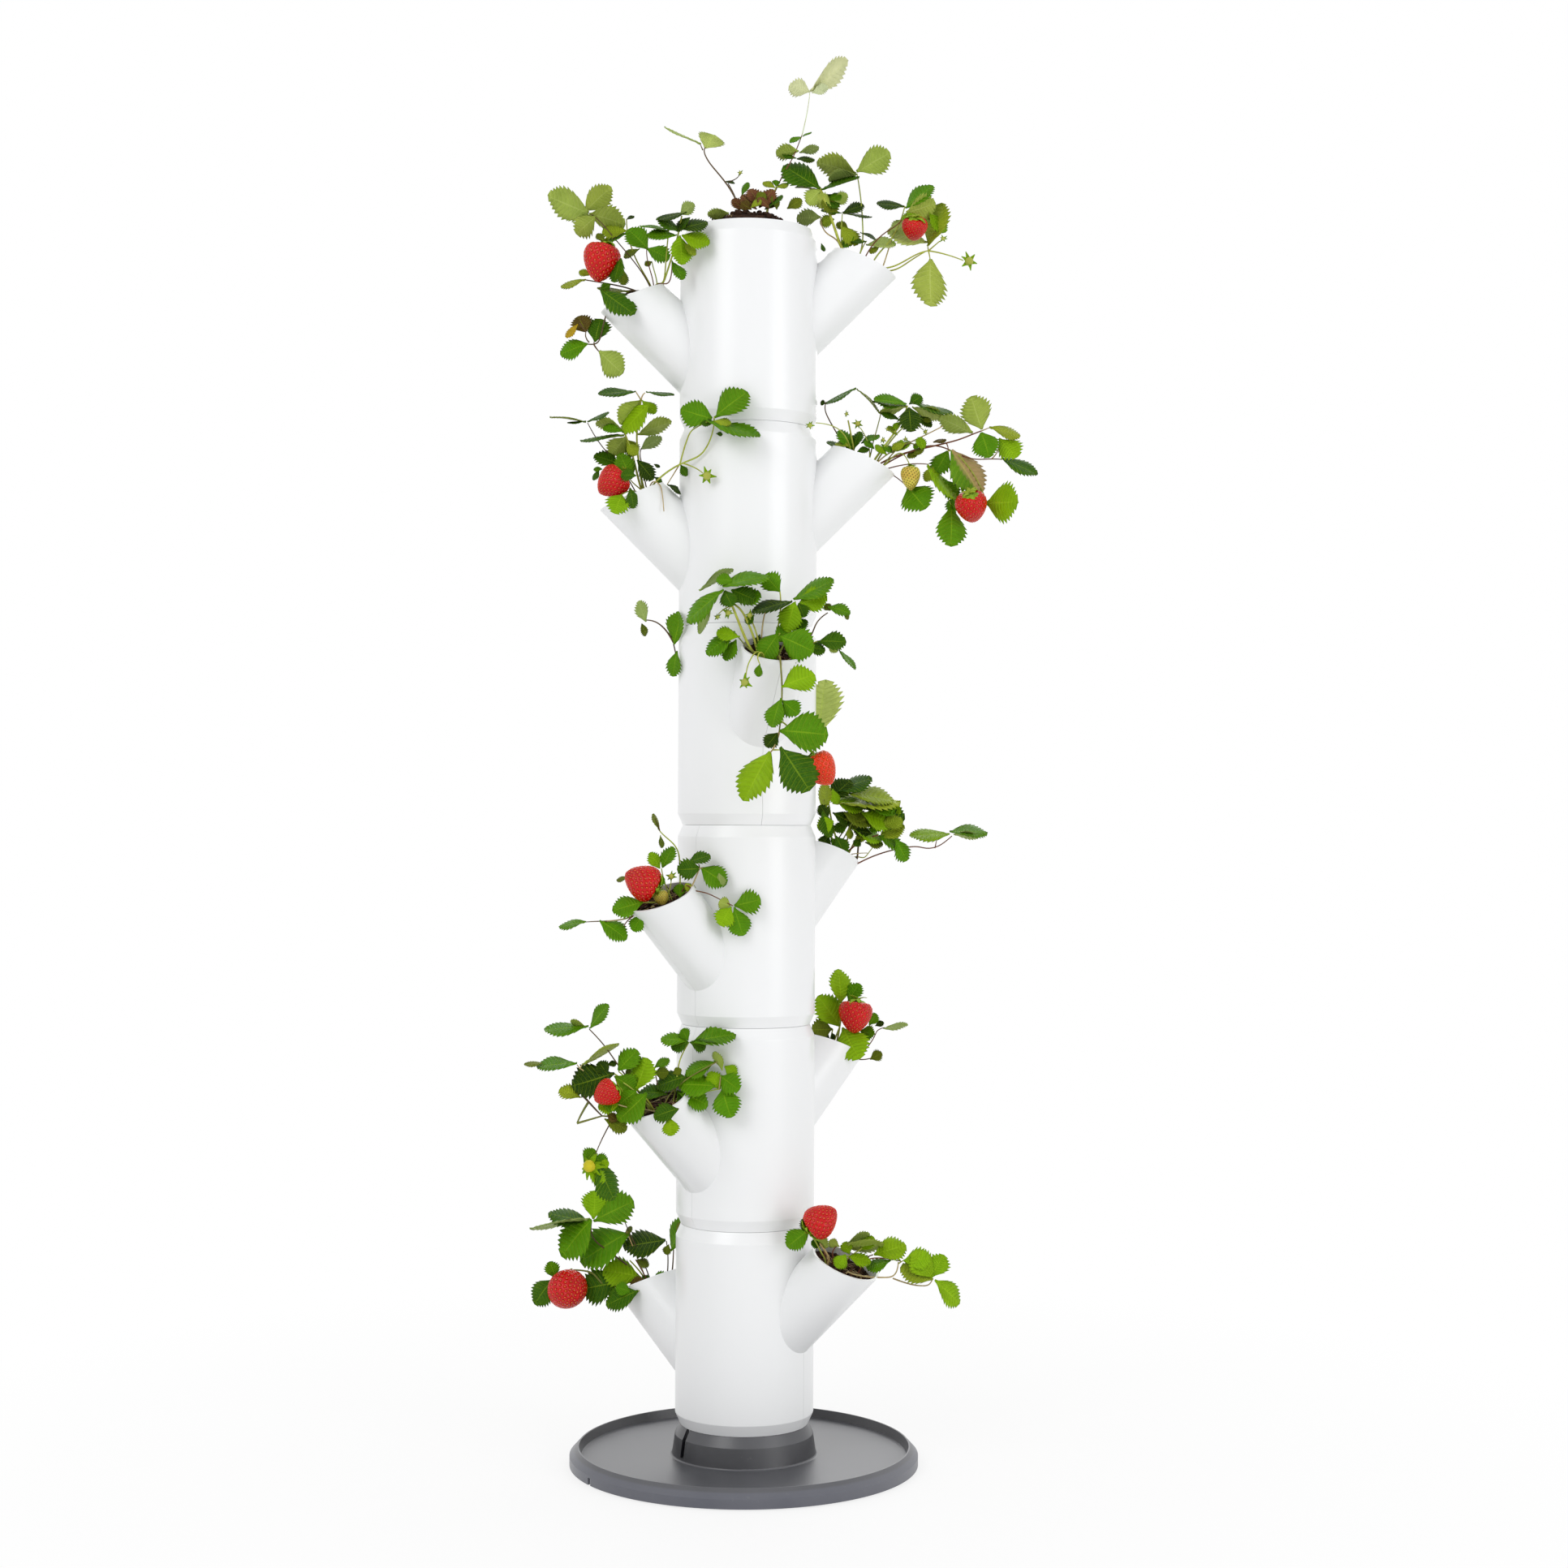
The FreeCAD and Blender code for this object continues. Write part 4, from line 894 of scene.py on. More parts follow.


# The plants, as read from the photograph. The depths are guessed, and so is most of the plant in
# tier 4's low pocket, which faces away. Some small leaflets only fill dense clusters, and stand for no
# leaf that can be told apart there. All places and widths are in pixels of the photograph, and all depths
# in millimetres behind the centre of the plant's pocket, towards the back.
# A leaflet is (base x, base y, tip x, tip y, width, shade[, depth]).
# A stalk is (shade, thickness, depth at its foot, depth at its end, (x, y) points from foot to end ...).
# A berry is (x, y, width, height, bearing of its crown in degrees from up, tone, depth[, how far its
# crown leans away from the viewer]).
# A bud is (x, y, size, depth), with True after it where it is an open flower.
# The root is where the stalks leave the soil.
PLANTS = {
    "tier6_low": {
        "root": (806, 358),
        "leaflets": [
            (725, 262, 677, 244, 25, "p"), (722, 259, 750, 230, 20, "p"), (726, 263, 769, 273, 20, "p"),
            (728, 266, 692, 257, 17, "p", 14), (734, 266, 711, 288, 21, "p"),
            (772, 284, 743, 283, 20, "y", 4), (772, 286, 745, 298, 12, "m", 6),
            (772, 270, 781, 266, 5, "k"), (799, 307, 776, 282, 25, "m", -12),
            (796, 305, 824, 317, 21, "m", -12), (834, 289, 798, 289, 17, "m", -58),
            (846, 262, 810, 269, 13, "k", -58), (838, 285, 812, 268, 15, "d", -58),
            (838, 264, 854, 251, 12, "g", -58), (836, 283, 870, 272, 19, "k", -60),
            (840, 290, 873, 298, 22, "b", -60), (838, 290, 840, 324, 22, "b", -60),
            (824, 284, 790, 277, 9, "m", -50), (828, 321, 842, 343, 14, "m", -50),
            (850, 268, 832, 282, 12, "d", -56), (843, 300, 858, 312, 11, "y", -58),
            (765, 318, 756, 346, 17, "d", -26), (766, 330, 769, 350, 12, "o", -20),
            (745, 297, 736, 288, 9, "o", -20), (752, 350, 742, 357, 10, "d", -20),
            (803, 322, 795, 327, 7, "o"), (788, 306, 769, 316, 11, "o", 4),
            (722, 345, 692, 352, 12, "y", -4), (726, 339, 714, 334, 9, "y", -4),
            (740, 357, 779, 386, 29, "d", -42), (775, 360, 738, 353, 11, "o", -14),
            (722, 409, 712, 387, 22, "w", -8), (712, 400, 697, 414, 10, "Y", -10),
            (733, 421, 738, 391, 26, "d", -8), (724, 424, 691, 434, 23, "m", -8),
            (738, 433, 767, 459, 26, "p", -8),
        ],
        "stalks": [
            ("s", 1.0, 0, -8, (806, 360), (780, 356), (752, 372), (744, 396), (741, 412), (738, 422),
             (732, 425), (724, 424)), ("s", 0.9, -8, -8, (732, 425), (735, 430), (738, 433)),
            ("s", 0.8, -8, -8, (732, 425), (732, 421)),
            ("s", 0.8, -8, -8, (726, 422), (720, 416), (722, 409)),
            ("s", 0.8, -8, -8, (722, 409), (714, 398)),
            ("s", 1.0, -4, -14, (790, 358), (775, 358), (760, 360), (741, 358)),
            ("s", 0.9, -4, -4, (790, 360), (765, 352), (740, 348), (722, 345)),
            ("s", 0.7, 0, 0, (803, 356), (790, 333), (768, 306), (752, 288), (738, 270), (725, 262)),
            ("y", 0.9, 4, 8, (806, 356), (785, 325), (776, 300), (772, 284), (772, 270)),
            ("r", 0.7, -4, -12, (808, 356), (800, 330), (796, 315), (797, 305)),
            ("y", 1.1, -6, -58, (816, 354), (822, 335), (830, 310), (836, 289), (840, 266)),
            ("r", 0.8, -10, -50, (824, 354), (828, 340), (828, 322)),
            ("y", 0.9, -6, -50, (820, 354), (820, 320), (824, 284)),
            ("y", 0.8, 0, 2, (814, 354), (806, 335), (803, 322)),
        ],
        "berries": [(741, 322, 47, 49, 12, "red", -16)],
        "buds": [],
    },
    "tier6_high": {
        "root": (1050, 312),
        "leaflets": [
            (1056, 212, 1093, 187, 24, "p"), (1055, 213, 1009, 199, 16, "p"),
            (1056, 214, 1022, 221, 9, "g"), (1011, 233, 967, 205, 33, "d", -8),
            (1011, 233, 1056, 216, 15, "d", -8), (1011, 233, 995, 251, 18, "p", -8),
            (1008, 233, 981, 229, 7, "o", -6), (1014, 238, 1030, 262, 20, "o", -4),
            (1027, 250, 1043, 240, 12, "p"), (1038, 262, 1062, 251, 15, "k"),
            (1039, 263, 1073, 266, 9, "k"), (1037, 262, 1013, 258, 9, "d"),
            (1011, 268, 983, 266, 14, "g", 6), (1028, 270, 1011, 274, 14, "y", 6),
            (1036, 278, 1056, 300, 20, "y"), (1060, 286, 1079, 293, 7, "k"), (1068, 297, 1047, 297, 9, "d"),
            (1067, 301, 1102, 298, 17, "l", 8), (1143, 299, 1096, 284, 26, "l", 14),
            (1115, 256, 1147, 228, 21, "m", 4), (1114, 255, 1082, 249, 15, "k", 2),
            (1117, 262, 1151, 251, 24, "p", 2), (1143, 303, 1160, 252, 25, "y", 10),
            (1146, 319, 1144, 375, 37, "p", -2), (1012, 300, 1016, 309, 5, "d"),
            (1024, 255, 1006, 243, 16, "p", -6), (1012, 240, 1034, 252, 16, "d", -2),
            (1020, 246, 1036, 240, 11, "m", -6), (1045, 282, 1032, 274, 11, "o", 4),
            (1052, 292, 1036, 303, 12, "m", 2), (1128, 264, 1112, 270, 12, "b", -8),
            (1145, 262, 1164, 285, 18, "b", 6), (1122, 270, 1100, 282, 14, "l", 10),
            (1084, 303, 1072, 311, 8, "y", 6),
        ],
        "stalks": [
            ("y", 1.7, 0, -8, (1040, 310), (1034, 300), (1026, 272), (1012, 238), (1011, 232)),
            ("y", 0.9, 0, 0, (1064, 306), (1063, 275), (1061, 242), (1056, 214)),
            ("y", 0.8, 0, 0, (1036, 304), (1036, 285), (1038, 263)),
            ("w", 0.9, 0, 6, (1036, 304), (1030, 292), (1012, 286), (1011, 268)),
            ("y", 1.0, 0, -2, (1085, 330), (1101, 330), (1122, 317), (1136, 310), (1144, 309)),
            ("y", 1.0, 2, -2, (1085, 334), (1107, 334), (1122, 320), (1140, 310)),
            ("y", 0.8, -2, -2, (1144, 309), (1165, 312), (1187, 321)),
            ("y", 0.8, -2, -2, (1144, 309), (1151, 303), (1158, 297)),
            ("y", 0.8, -2, -2, (1144, 309), (1145, 313), (1146, 319)),
            ("y", 0.8, -2, 10, (1144, 309), (1143, 303)),
            ("r", 0.8, 0, -6, (1067, 314), (1078, 297), (1093, 284), (1108, 277), (1117, 264)),
            ("y", 1.0, 2, 2, (1078, 316), (1094, 301), (1104, 285), (1111, 270), (1115, 254)),
            ("w", 0.9, 4, 8, (1090, 324), (1095, 306), (1098, 297)),
            ("y", 0.8, 0, 8, (1062, 308), (1064, 302), (1067, 298)),
        ],
        "berries": [(1127, 281, 33, 30, 5, "red", -8, -0.6)],
        "buds": [(1194, 322, 20, -2), (1162, 294, 9, -2)],
    },
    "crown": {
        "root": (928, 257),
        "leaflets": [
            (999, 113, 1041, 75, 14, "P"), (998, 113, 974, 104, 16, "P"), (1000, 114, 1019, 107, 7, "P"),
            (988, 168, 973, 174, 8, "m"), (989, 168, 999, 162, 4, "m"), (984, 186, 957, 187, 12, "p"),
            (985, 188, 1008, 182, 5, "g"), (981, 195, 965, 190, 8, "d"), (982, 196, 1003, 196, 10, "k"),
            (863, 178, 821, 156, 10, "l"), (869, 182, 880, 159, 28, "l"), (893, 223, 905, 225, 5, "k"),
            (914, 241, 920, 225, 8, "m"), (955, 231, 941, 224, 9, "y", -10),
            (956, 231, 971, 227, 8, "y", -10), (956, 230, 957, 221, 8, "m", -10),
            (932, 258, 915, 241, 15, "r", -14), (936, 254, 926, 233, 17, "r", -10),
            (936, 256, 950, 233, 18, "r", -16), (942, 258, 957, 245, 13, "o", -12),
            (918, 259, 903, 246, 13, "r", -8), (926, 258, 913, 250, 12, "w", -20),
            (932, 250, 942, 238, 12, "o", -18), (948, 256, 936, 243, 12, "r", -22),
            (970, 257, 987, 246, 14, "o", -12), (957, 258, 955, 241, 9, "o", -18),
            (898, 263, 873, 264, 8, "p", -40), (946, 256, 962, 240, 9, "d", -20),
            (925, 256, 936, 246, 9, "y", -24),
        ],
        "stalks": [
            ("P", 0.6, 0, 0, (988, 167), (992, 152), (996, 134), (998, 113)),
            ("r", 0.8, 0, 0, (945, 258), (955, 236), (965, 214), (978, 194), (983, 180), (988, 167)),
            ("s", 0.9, -4, 0, (912, 260), (905, 241), (893, 223), (880, 208), (871, 197), (866, 185),
             (869, 182)), ("s", 0.7, 0, 0, (866, 185), (863, 178)),
            ("s", 0.7, -4, 0, (910, 258), (906, 240), (897, 226)),
            ("s", 0.6, 0, 0, (897, 224), (907, 222), (911, 216)),
            ("y", 0.9, -6, -10, (944, 258), (951, 245), (956, 231)),
        ],
        "berries": [],
        "buds": [(912, 213, 7, 0)],
    },
    "tier5_low": {
        "root": (795, 600),
        "leaflets": [
            (783, 482, 739, 484, 15, "d"), (796, 483, 829, 486, 8, "d"), (799, 498, 768, 531, 26, "b", -8),
            (790, 492, 763, 519, 19, "p", 0), (791, 493, 807, 508, 14, "b", -4),
            (722, 520, 680, 511, 5, "o"), (722, 519, 700, 520, 5, "d"), (724, 520, 749, 508, 8, "d"),
            (769, 537, 717, 540, 10, "d", -10), (768, 531, 744, 526, 12, "m", -8),
            (767, 528, 736, 519, 10, "p", 4), (785, 535, 825, 519, 11, "p", 4),
            (790, 553, 814, 539, 10, "g", 8), (771, 538, 754, 560, 21, "p", 4),
            (772, 545, 784, 560, 14, "y", -4), (771, 541, 784, 557, 15, "y", 6),
            (773, 545, 777, 562, 8, "d", 0), (764, 572, 734, 560, 18, "d", -6),
            (778, 590, 764, 560, 22, "m", -12), (784, 586, 766, 584, 14, "d", -40),
            (785, 567, 805, 589, 18, "k", -8), (806, 572, 813, 575, 4, "k"),
            (877, 516, 840, 505, 30, "m", -66), (880, 514, 917, 482, 32, "m", -68),
            (870, 518, 934, 534, 20, "m", -72), (879, 518, 900, 521, 11, "y", -70),
            (880, 520, 865, 521, 9, "d", -70), (882, 534, 890, 535, 5, "d", -72),
            (839, 573, 846, 586, 10, "d", -30), (822, 597, 841, 606, 8, "k", -10),
            (807, 588, 816, 594, 6, "d"), (766, 609, 758, 631, 24, "b", -38),
            (776, 601, 782, 625, 13, "d", -38), (738, 580, 731, 591, 7, "d", -8),
            (742, 578, 732, 577, 6, "m", -8),
        ],
        "stalks": [
            ("y", 1.3, 0, -4, (790, 604), (784, 580), (777, 550), (769, 533), (768, 528)),
            ("y", 1.3, 2, 0, (792, 604), (787, 570), (784, 545), (785, 520), (790, 493)),
            ("w", 0.8, 0, 0, (790, 493), (786, 487), (783, 482)),
            ("w", 0.8, 0, 0, (790, 493), (791, 486), (795, 484)),
            ("s", 0.7, 0, 0, (776, 590), (750, 560), (734, 541), (724, 521)),
            ("y", 1.0, -10, -62, (800, 602), (816, 585), (838, 571), (860, 564), (870, 554), (878, 536),
             (880, 522)),
            ("y", 0.8, -62, -66, (838, 571), (842, 555), (847, 540), (852, 528), (864, 524), (877, 516)),
            ("y", 0.8, -50, -56, (842, 571), (857, 575), (866, 583)),
            ("y", 0.8, -62, -70, (880, 522), (880, 514)), ("y", 0.7, -62, -72, (880, 522), (870, 520)),
            ("w", 0.7, -30, -10, (838, 571), (829, 586), (822, 597)),
            ("w", 0.7, -20, -34, (812, 596), (816, 600), (818, 630)),
            ("y", 0.8, 0, 4, (792, 600), (789, 575), (785, 552), (785, 535)),
            ("s", 0.8, 0, 8, (795, 600), (793, 575), (787, 560), (790, 553)),
            ("y", 0.8, -4, -8, (790, 602), (780, 596), (776, 590)),
            ("y", 0.8, -10, -38, (788, 606), (776, 603), (767, 609)),
            ("s", 0.7, -20, -38, (785, 608), (777, 620), (767, 632)),
        ],
        "berries": [(755, 594, 39, 41, 50, "red", -24)],
        "buds": [(871, 586, 20, -56)],
    },
    "tier5_high": {
        "root": (1072, 562),
        "leaflets": [
            (1055, 479, 1018, 495, 9, "d"), (1056, 479, 1086, 506, 7, "o"), (1017, 497, 1011, 495, 6, "k"),
            (1117, 498, 1079, 490, 19, "m"), (1116, 500, 1077, 494, 8, "k", -4),
            (1118, 501, 1085, 506, 7, "p", 2), (1122, 496, 1172, 508, 14, "d"),
            (1124, 501, 1160, 514, 9, "p", 4), (1120, 502, 1122, 531, 25, "k", -8),
            (1107, 517, 1087, 508, 9, "d"), (1148, 519, 1138, 516, 6, "o"),
            (1198, 534, 1160, 513, 14, "p", 2), (1210, 529, 1196, 491, 31, "p"),
            (1219, 527, 1256, 536, 17, "y"), (1209, 533, 1219, 563, 29, "m", -6),
            (1231, 540, 1250, 564, 26, "b", -2), (1235, 565, 1277, 582, 20, "d"),
            (1222, 560, 1206, 545, 18, "p", -4), (1172, 555, 1208, 605, 39, "q", -4),
            (1168, 556, 1152, 583, 21, "m", 4), (1142, 574, 1181, 616, 20, "b", -8),
            (1118, 600, 1137, 628, 36, "m", 2), (1216, 620, 1247, 623, 41, "b", 4),
            (1172, 622, 1174, 671, 33, "m", -2), (1178, 610, 1172, 632, 14, "m", 0),
            (1050, 556, 1020, 545, 9, "d"), (1050, 556, 1036, 530, 16, "m"),
            (1051, 556, 1056, 532, 12, "d"), (1061, 546, 1082, 535, 9, "m"),
            (1049, 550, 1030, 545, 8, "y", -6), (1056, 556, 1070, 553, 8, "d", -6),
            (1086, 547, 1101, 557, 9, "m"), (1100, 558, 1110, 542, 9, "b"), (1104, 556, 1121, 544, 8, "b"),
            (1137, 556, 1135, 539, 12, "b", -4), (1134, 554, 1119, 563, 9, "o"),
            (1150, 545, 1165, 541, 6, "w"), (1108, 520, 1100, 528, 6, "b"),
            (1133, 545, 1126, 552, 6, "m", -4), (1093, 561, 1080, 548, 9, "b", -6),
            (1116, 545, 1100, 553, 10, "y", -4), (1106, 536, 1095, 525, 7, "y", 0),
            (1124, 561, 1137, 552, 8, "o", -4), (1077, 553, 1066, 543, 8, "m", -6),
            (1120, 498, 1135, 488, 14, "d", 4), (1130, 512, 1148, 524, 12, "k", 0),
            (1162, 590, 1180, 612, 20, "m", -2), (1150, 576, 1140, 592, 12, "y", -4),
        ],
        "stalks": [
            ("y", 1.4, 0, 0, (1076, 568), (1089, 551), (1103, 532), (1113, 518), (1118, 500)),
            ("y", 1.0, 2, 0, (1080, 568), (1094, 548), (1108, 530), (1120, 521), (1120, 502)),
            ("s", 0.8, 0, 0, (1050, 560), (1035, 541), (1023, 520), (1015, 505), (1017, 497), (1018, 495)),
            ("o", 0.8, 0, 0, (1073, 562), (1075, 545), (1082, 525), (1086, 506)),
            ("r", 1.1, 0, 0, (1080, 572), (1110, 559), (1140, 552), (1166, 546), (1185, 541),
             (1198, 535), (1209, 531)),
            ("r", 0.9, 4, 0, (1085, 574), (1120, 556), (1150, 546), (1172, 555), (1190, 564),
             (1206, 567), (1222, 565), (1235, 566)),
            ("w", 0.9, 0, 0, (1080, 568), (1105, 552), (1135, 539), (1162, 525)),
            ("r", 0.7, 0, 0, (1166, 546), (1169, 551), (1168, 556)),
            ("w", 0.7, 0, 0, (1209, 531), (1214, 529), (1219, 527)),
            ("w", 0.7, 0, 0, (1222, 565), (1232, 558), (1231, 540)),
            ("r", 0.8, 2, -4, (1095, 576), (1125, 570), (1143, 572)),
            ("r", 0.7, 2, 2, (1095, 580), (1110, 592), (1118, 600)),
            ("y", 0.8, -4, -4, (1168, 556), (1172, 555)),
            ("y", 0.8, -4, -6, (1172, 555), (1182, 580), (1190, 600), (1193, 606)),
            ("y", 0.8, -2, 4, (1180, 560), (1205, 585), (1216, 620)),
            ("y", 0.8, 2, 0, (1143, 572), (1160, 596), (1172, 622)),
            ("y", 1.2, 0, 0, (1054, 560), (1050, 543), (1045, 518)),
            ("y", 0.7, -4, -4, (1074, 562), (1069, 540), (1060, 527)),
            ("y", 0.7, -6, -58, (1050, 556), (1040, 530), (1022, 522), (1005, 521)),
            ("y", 0.8, 0, -4, (1104, 556), (1114, 556), (1121, 573)),
            ("o", 0.8, -4, -4, (1104, 552), (1120, 543), (1134, 550), (1137, 556)),
            ("y", 0.7, 0, 0, (1113, 518), (1108, 520)),
            ("y", 0.7, 0, -4, (1120, 521), (1132, 524), (1138, 530)),
        ],
        "berries": [(1197, 624, 41, 40, -10, "red", -14, -0.6), (1122, 588, 25, 31, 0, "pale", -8)],
        "buds": [
            (1043, 510, 7, 0), (1057, 522, 12, -4), (1094, 529, 7, 0), (1088, 542, 8, 0),
            (1140, 532, 8, -4), (998, 524, 11, -60), (1116, 541, 7, 0),
        ],
    },
    "tier4_high": {
        "root": (960, 808),
        "leaflets": [
            (861, 727, 900, 700, 6, "g", 30), (890, 722, 945, 707, 19, "m", 2),
            (901, 727, 930, 737, 21, "d", 0), (892, 727, 846, 762, 22, "m", -4),
            (905, 742, 935, 730, 20, "m", 6), (905, 716, 884, 712, 14, "m", 6),
            (893, 728, 900, 746, 19, "d", -2), (876, 745, 861, 779, 7, "g", 6),
            (961, 729, 943, 708, 23, "m", 10), (978, 739, 1025, 715, 22, "m", 6),
            (984, 744, 1018, 736, 27, "b", 4), (984, 743, 990, 760, 16, "d", 2),
            (976, 740, 928, 752, 16, "k", -2), (979, 742, 969, 777, 25, "b", -6),
            (976, 776, 993, 764, 13, "d", 0), (1020, 747, 1047, 754, 14, "m", 0),
            (1023, 752, 1017, 744, 9, "o", 0), (1042, 754, 1045, 763, 5, "o", 0),
            (1007, 790, 1041, 789, 21, "d", -4), (1021, 794, 1031, 803, 9, "p", -2),
            (1034, 800, 1054, 823, 8, "m", 0), (959, 781, 936, 811, 26, "m", -14),
            (956, 790, 972, 775, 20, "m", -4), (961, 784, 1000, 800, 36, "m", -16),
            (991, 796, 1016, 800, 15, "d", -6), (989, 786, 1002, 790, 9, "k", -4),
            (906, 779, 870, 802, 20, "m", -4), (912, 784, 884, 780, 16, "b", -8),
            (907, 788, 893, 812, 16, "m", -8), (936, 782, 931, 797, 10, "k", 2),
            (929, 757, 920, 768, 10, "d", 0), (936, 818, 933, 833, 9, "m", -40),
            (963, 846, 1001, 829, 30, "b", -46), (962, 860, 950, 894, 20, "m", -44),
            (964, 863, 982, 880, 21, "m", -42), (961, 900, 1018, 904, 42, "m", -54),
            (958, 903, 945, 920, 17, "k", -44), (962, 920, 996, 972, 44, "d", -68),
            (949, 926, 916, 983, 34, "b", -44),
        ],
        "stalks": [
            ("y", 1.6, 0, -2, (930, 808), (922, 795), (912, 772), (904, 750), (900, 742)),
            ("y", 1.3, 2, 0, (934, 806), (930, 788), (921, 765), (912, 748), (903, 744), (898, 738)),
            ("y", 1.0, 2, 0, (937, 804), (934, 785), (927, 765), (921, 757)),
            ("w", 0.9, 4, 8, (938, 790), (939, 772), (942, 755), (945, 748)),
            ("y", 1.0, 0, -2, (944, 810), (950, 798), (957, 786), (961, 780)),
            ("y", 1.0, 4, 8, (950, 806), (960, 770), (963, 745), (961, 729)),
            ("y", 1.1, 4, 4, (960, 806), (972, 780), (979, 755), (980, 741)),
            ("s", 0.9, 2, 0, (980, 800), (1000, 786), (1003, 772), (1010, 761), (1020, 755)),
            ("y", 0.9, 0, -4, (975, 806), (990, 797), (1007, 790)),
            ("w", 0.8, -2, 0, (1014, 794), (1026, 795), (1034, 800)),
            ("o", 0.9, -4, -4, (928, 806), (915, 792), (906, 780)),
            ("y", 0.7, -2, 0, (903, 746), (893, 748), (885, 757)),
            ("y", 0.7, -2, -2, (903, 746), (899, 748), (897, 752)),
            ("y", 0.8, -30, -38, (925, 811), (920, 822), (919, 834)),
            ("y", 0.8, -30, -40, (932, 811), (935, 815), (936, 818)),
            ("o", 1.0, -36, -44, (962, 822), (964, 845), (963, 870), (962, 888), (960, 902)),
            ("w", 1.0, -42, -46, (960, 902), (957, 915), (953, 924), (949, 927)),
            ("y", 0.9, -44, -67, (953, 924), (958, 924), (963, 924)),
            ("y", 0.9, -44, -46, (962, 888), (985, 905), (1003, 930)),
        ],
        "berries": [(1011, 947, 43, 44, -35, "orange", -44)],
        "buds": [
            (884, 760, 9, 0), (897, 755, 13, -2), (924, 758, 12, 0), (903, 794, 10, -4),
            (918, 841, 19, -42),
        ],
    },
    "tier4_low": {
        "root": (892, 862),
        "leaflets": [
            (796, 766, 787, 742, 14, "g", -140), (791, 768, 796, 783, 7, "o", -140),
            (830, 794, 840, 755, 26, "m", -134), (834, 802, 829, 832, 16, "m", -134),
            (1010, 903, 1014, 840, 42, "l", -58), (884, 830, 862, 800, 26, "m", 20),
            (886, 826, 900, 790, 28, "d", 24), (890, 832, 916, 812, 26, "m", 18),
            (926, 838, 958, 820, 28, "m", 16), (924, 834, 940, 802, 26, "b", 20),
            (918, 836, 905, 812, 22, "d", 30), (872, 852, 850, 850, 22, "d", 36),
            (876, 858, 862, 882, 24, "m", 40), (905, 880, 892, 920, 30, "m", 52),
            (910, 880, 928, 914, 28, "d", 50), (914, 874, 944, 884, 24, "b", 46),
        ],
        "stalks": [
            ("s", 1.0, 0, -130, (875, 862), (845, 850), (836, 826), (833, 806), (830, 794)),
            ("s", 0.9, -130, -140, (830, 792), (824, 781), (819, 774), (807, 764), (796, 764)),
            ("o", 1.0, 0, -58, (912, 860), (955, 880), (990, 905), (1010, 901)),
            ("y", 1.2, 0, 22, (890, 860), (886, 845), (886, 828)),
            ("y", 1.2, 4, 18, (900, 860), (915, 850), (924, 837)),
            ("r", 0.8, 4, 38, (884, 862), (878, 858), (873, 854)),
            ("r", 0.9, 8, 50, (900, 866), (905, 868), (908, 880)),
        ],
        "berries": [(930, 884, 34, 38, 0, "red", 56)],
        "buds": [(902, 846, 9, 30)],
    },
    "tier3_low": {
        "root": (820, 1106),
        "leaflets": [
            (813, 1070, 802, 1051, 13, "b", 2), (816, 1069, 828, 1044, 15, "m", 0),
            (812, 1023, 806, 1003, 5, "o", 4), (814, 1029, 816, 1044, 5, "o", 4),
            (847, 1063, 873, 1052, 13, "d", 2), (862, 1070, 836, 1072, 22, "d", 0),
            (864, 1069, 894, 1088, 24, "m", 0), (886, 1076, 888, 1092, 12, "g", 0),
            (905, 1116, 936, 1109, 25, "m", 2), (905, 1118, 914, 1152, 24, "m", 0),
            (901, 1117, 888, 1138, 22, "b", 0), (900, 1116, 886, 1111, 14, "p", 2),
            (838, 1106, 837, 1090, 14, "m", -4), (857, 1102, 847, 1088, 9, "y", -2),
            (792, 1112, 756, 1120, 22, "m", -14), (791, 1127, 780, 1146, 17, "m", -16),
            (739, 1134, 772, 1154, 19, "m", -18), (722, 1136, 690, 1140, 8, "m", -16),
            (774, 1081, 760, 1084, 5, "o", 4), (806, 1092, 817, 1081, 12, "m", -14),
        ],
        "stalks": [
            ("y", 0.9, 2, 4, (838, 1104), (838, 1080), (838, 1052), (830, 1038), (818, 1030), (813, 1024)),
            ("s", 0.6, 4, 4, (813, 1024), (812, 1018), (807, 1008)),
            ("y", 0.8, 0, 2, (826, 1104), (818, 1088), (815, 1070)),
            ("w", 1.0, 0, 0, (847, 1100), (853, 1092), (857, 1082), (862, 1070)),
            ("w", 0.8, 0, 0, (862, 1070), (866, 1069)), ("s", 0.8, 0, 2, (862, 1070), (861, 1065)),
            ("r", 0.7, -2, 0, (852, 1097), (860, 1098), (875, 1101), (888, 1109), (903, 1116)),
            ("s", 0.8, -2, 2, (832, 1106), (826, 1097), (818, 1088)),
            ("y", 0.8, -2, -4, (822, 1104), (826, 1094), (827, 1086)),
            ("y", 1.1, -2, -14, (812, 1112), (800, 1112), (792, 1112)),
            ("w", 1.0, -4, -16, (806, 1118), (792, 1122), (776, 1131), (764, 1134), (745, 1135)),
            ("r", 0.7, -12, -16, (780, 1129), (772, 1134), (769, 1141)),
            ("s", 0.7, -16, -16, (748, 1135), (736, 1135), (722, 1136)),
        ],
        "berries": [(792, 1087, 44, 46, 118, "red", -12), (815, 1106, 19, 20, -20, "pale", -4)],
        "buds": [(827, 1080, 13, -4)],
    },
    "tier3_high": {
        "root": (1022, 1055),
        "leaflets": [
            (1015, 1000, 1016, 964, 13, "y", -16), (1028, 976, 1071, 957, 17, "d", -6),
            (1022, 986, 1046, 961, 22, "k", -8), (1026, 990, 1106, 984, 17, "y", -12),
            (1050, 991, 1096, 994, 11, "k", -16), (1072, 996, 1113, 1008, 29, "d", -8),
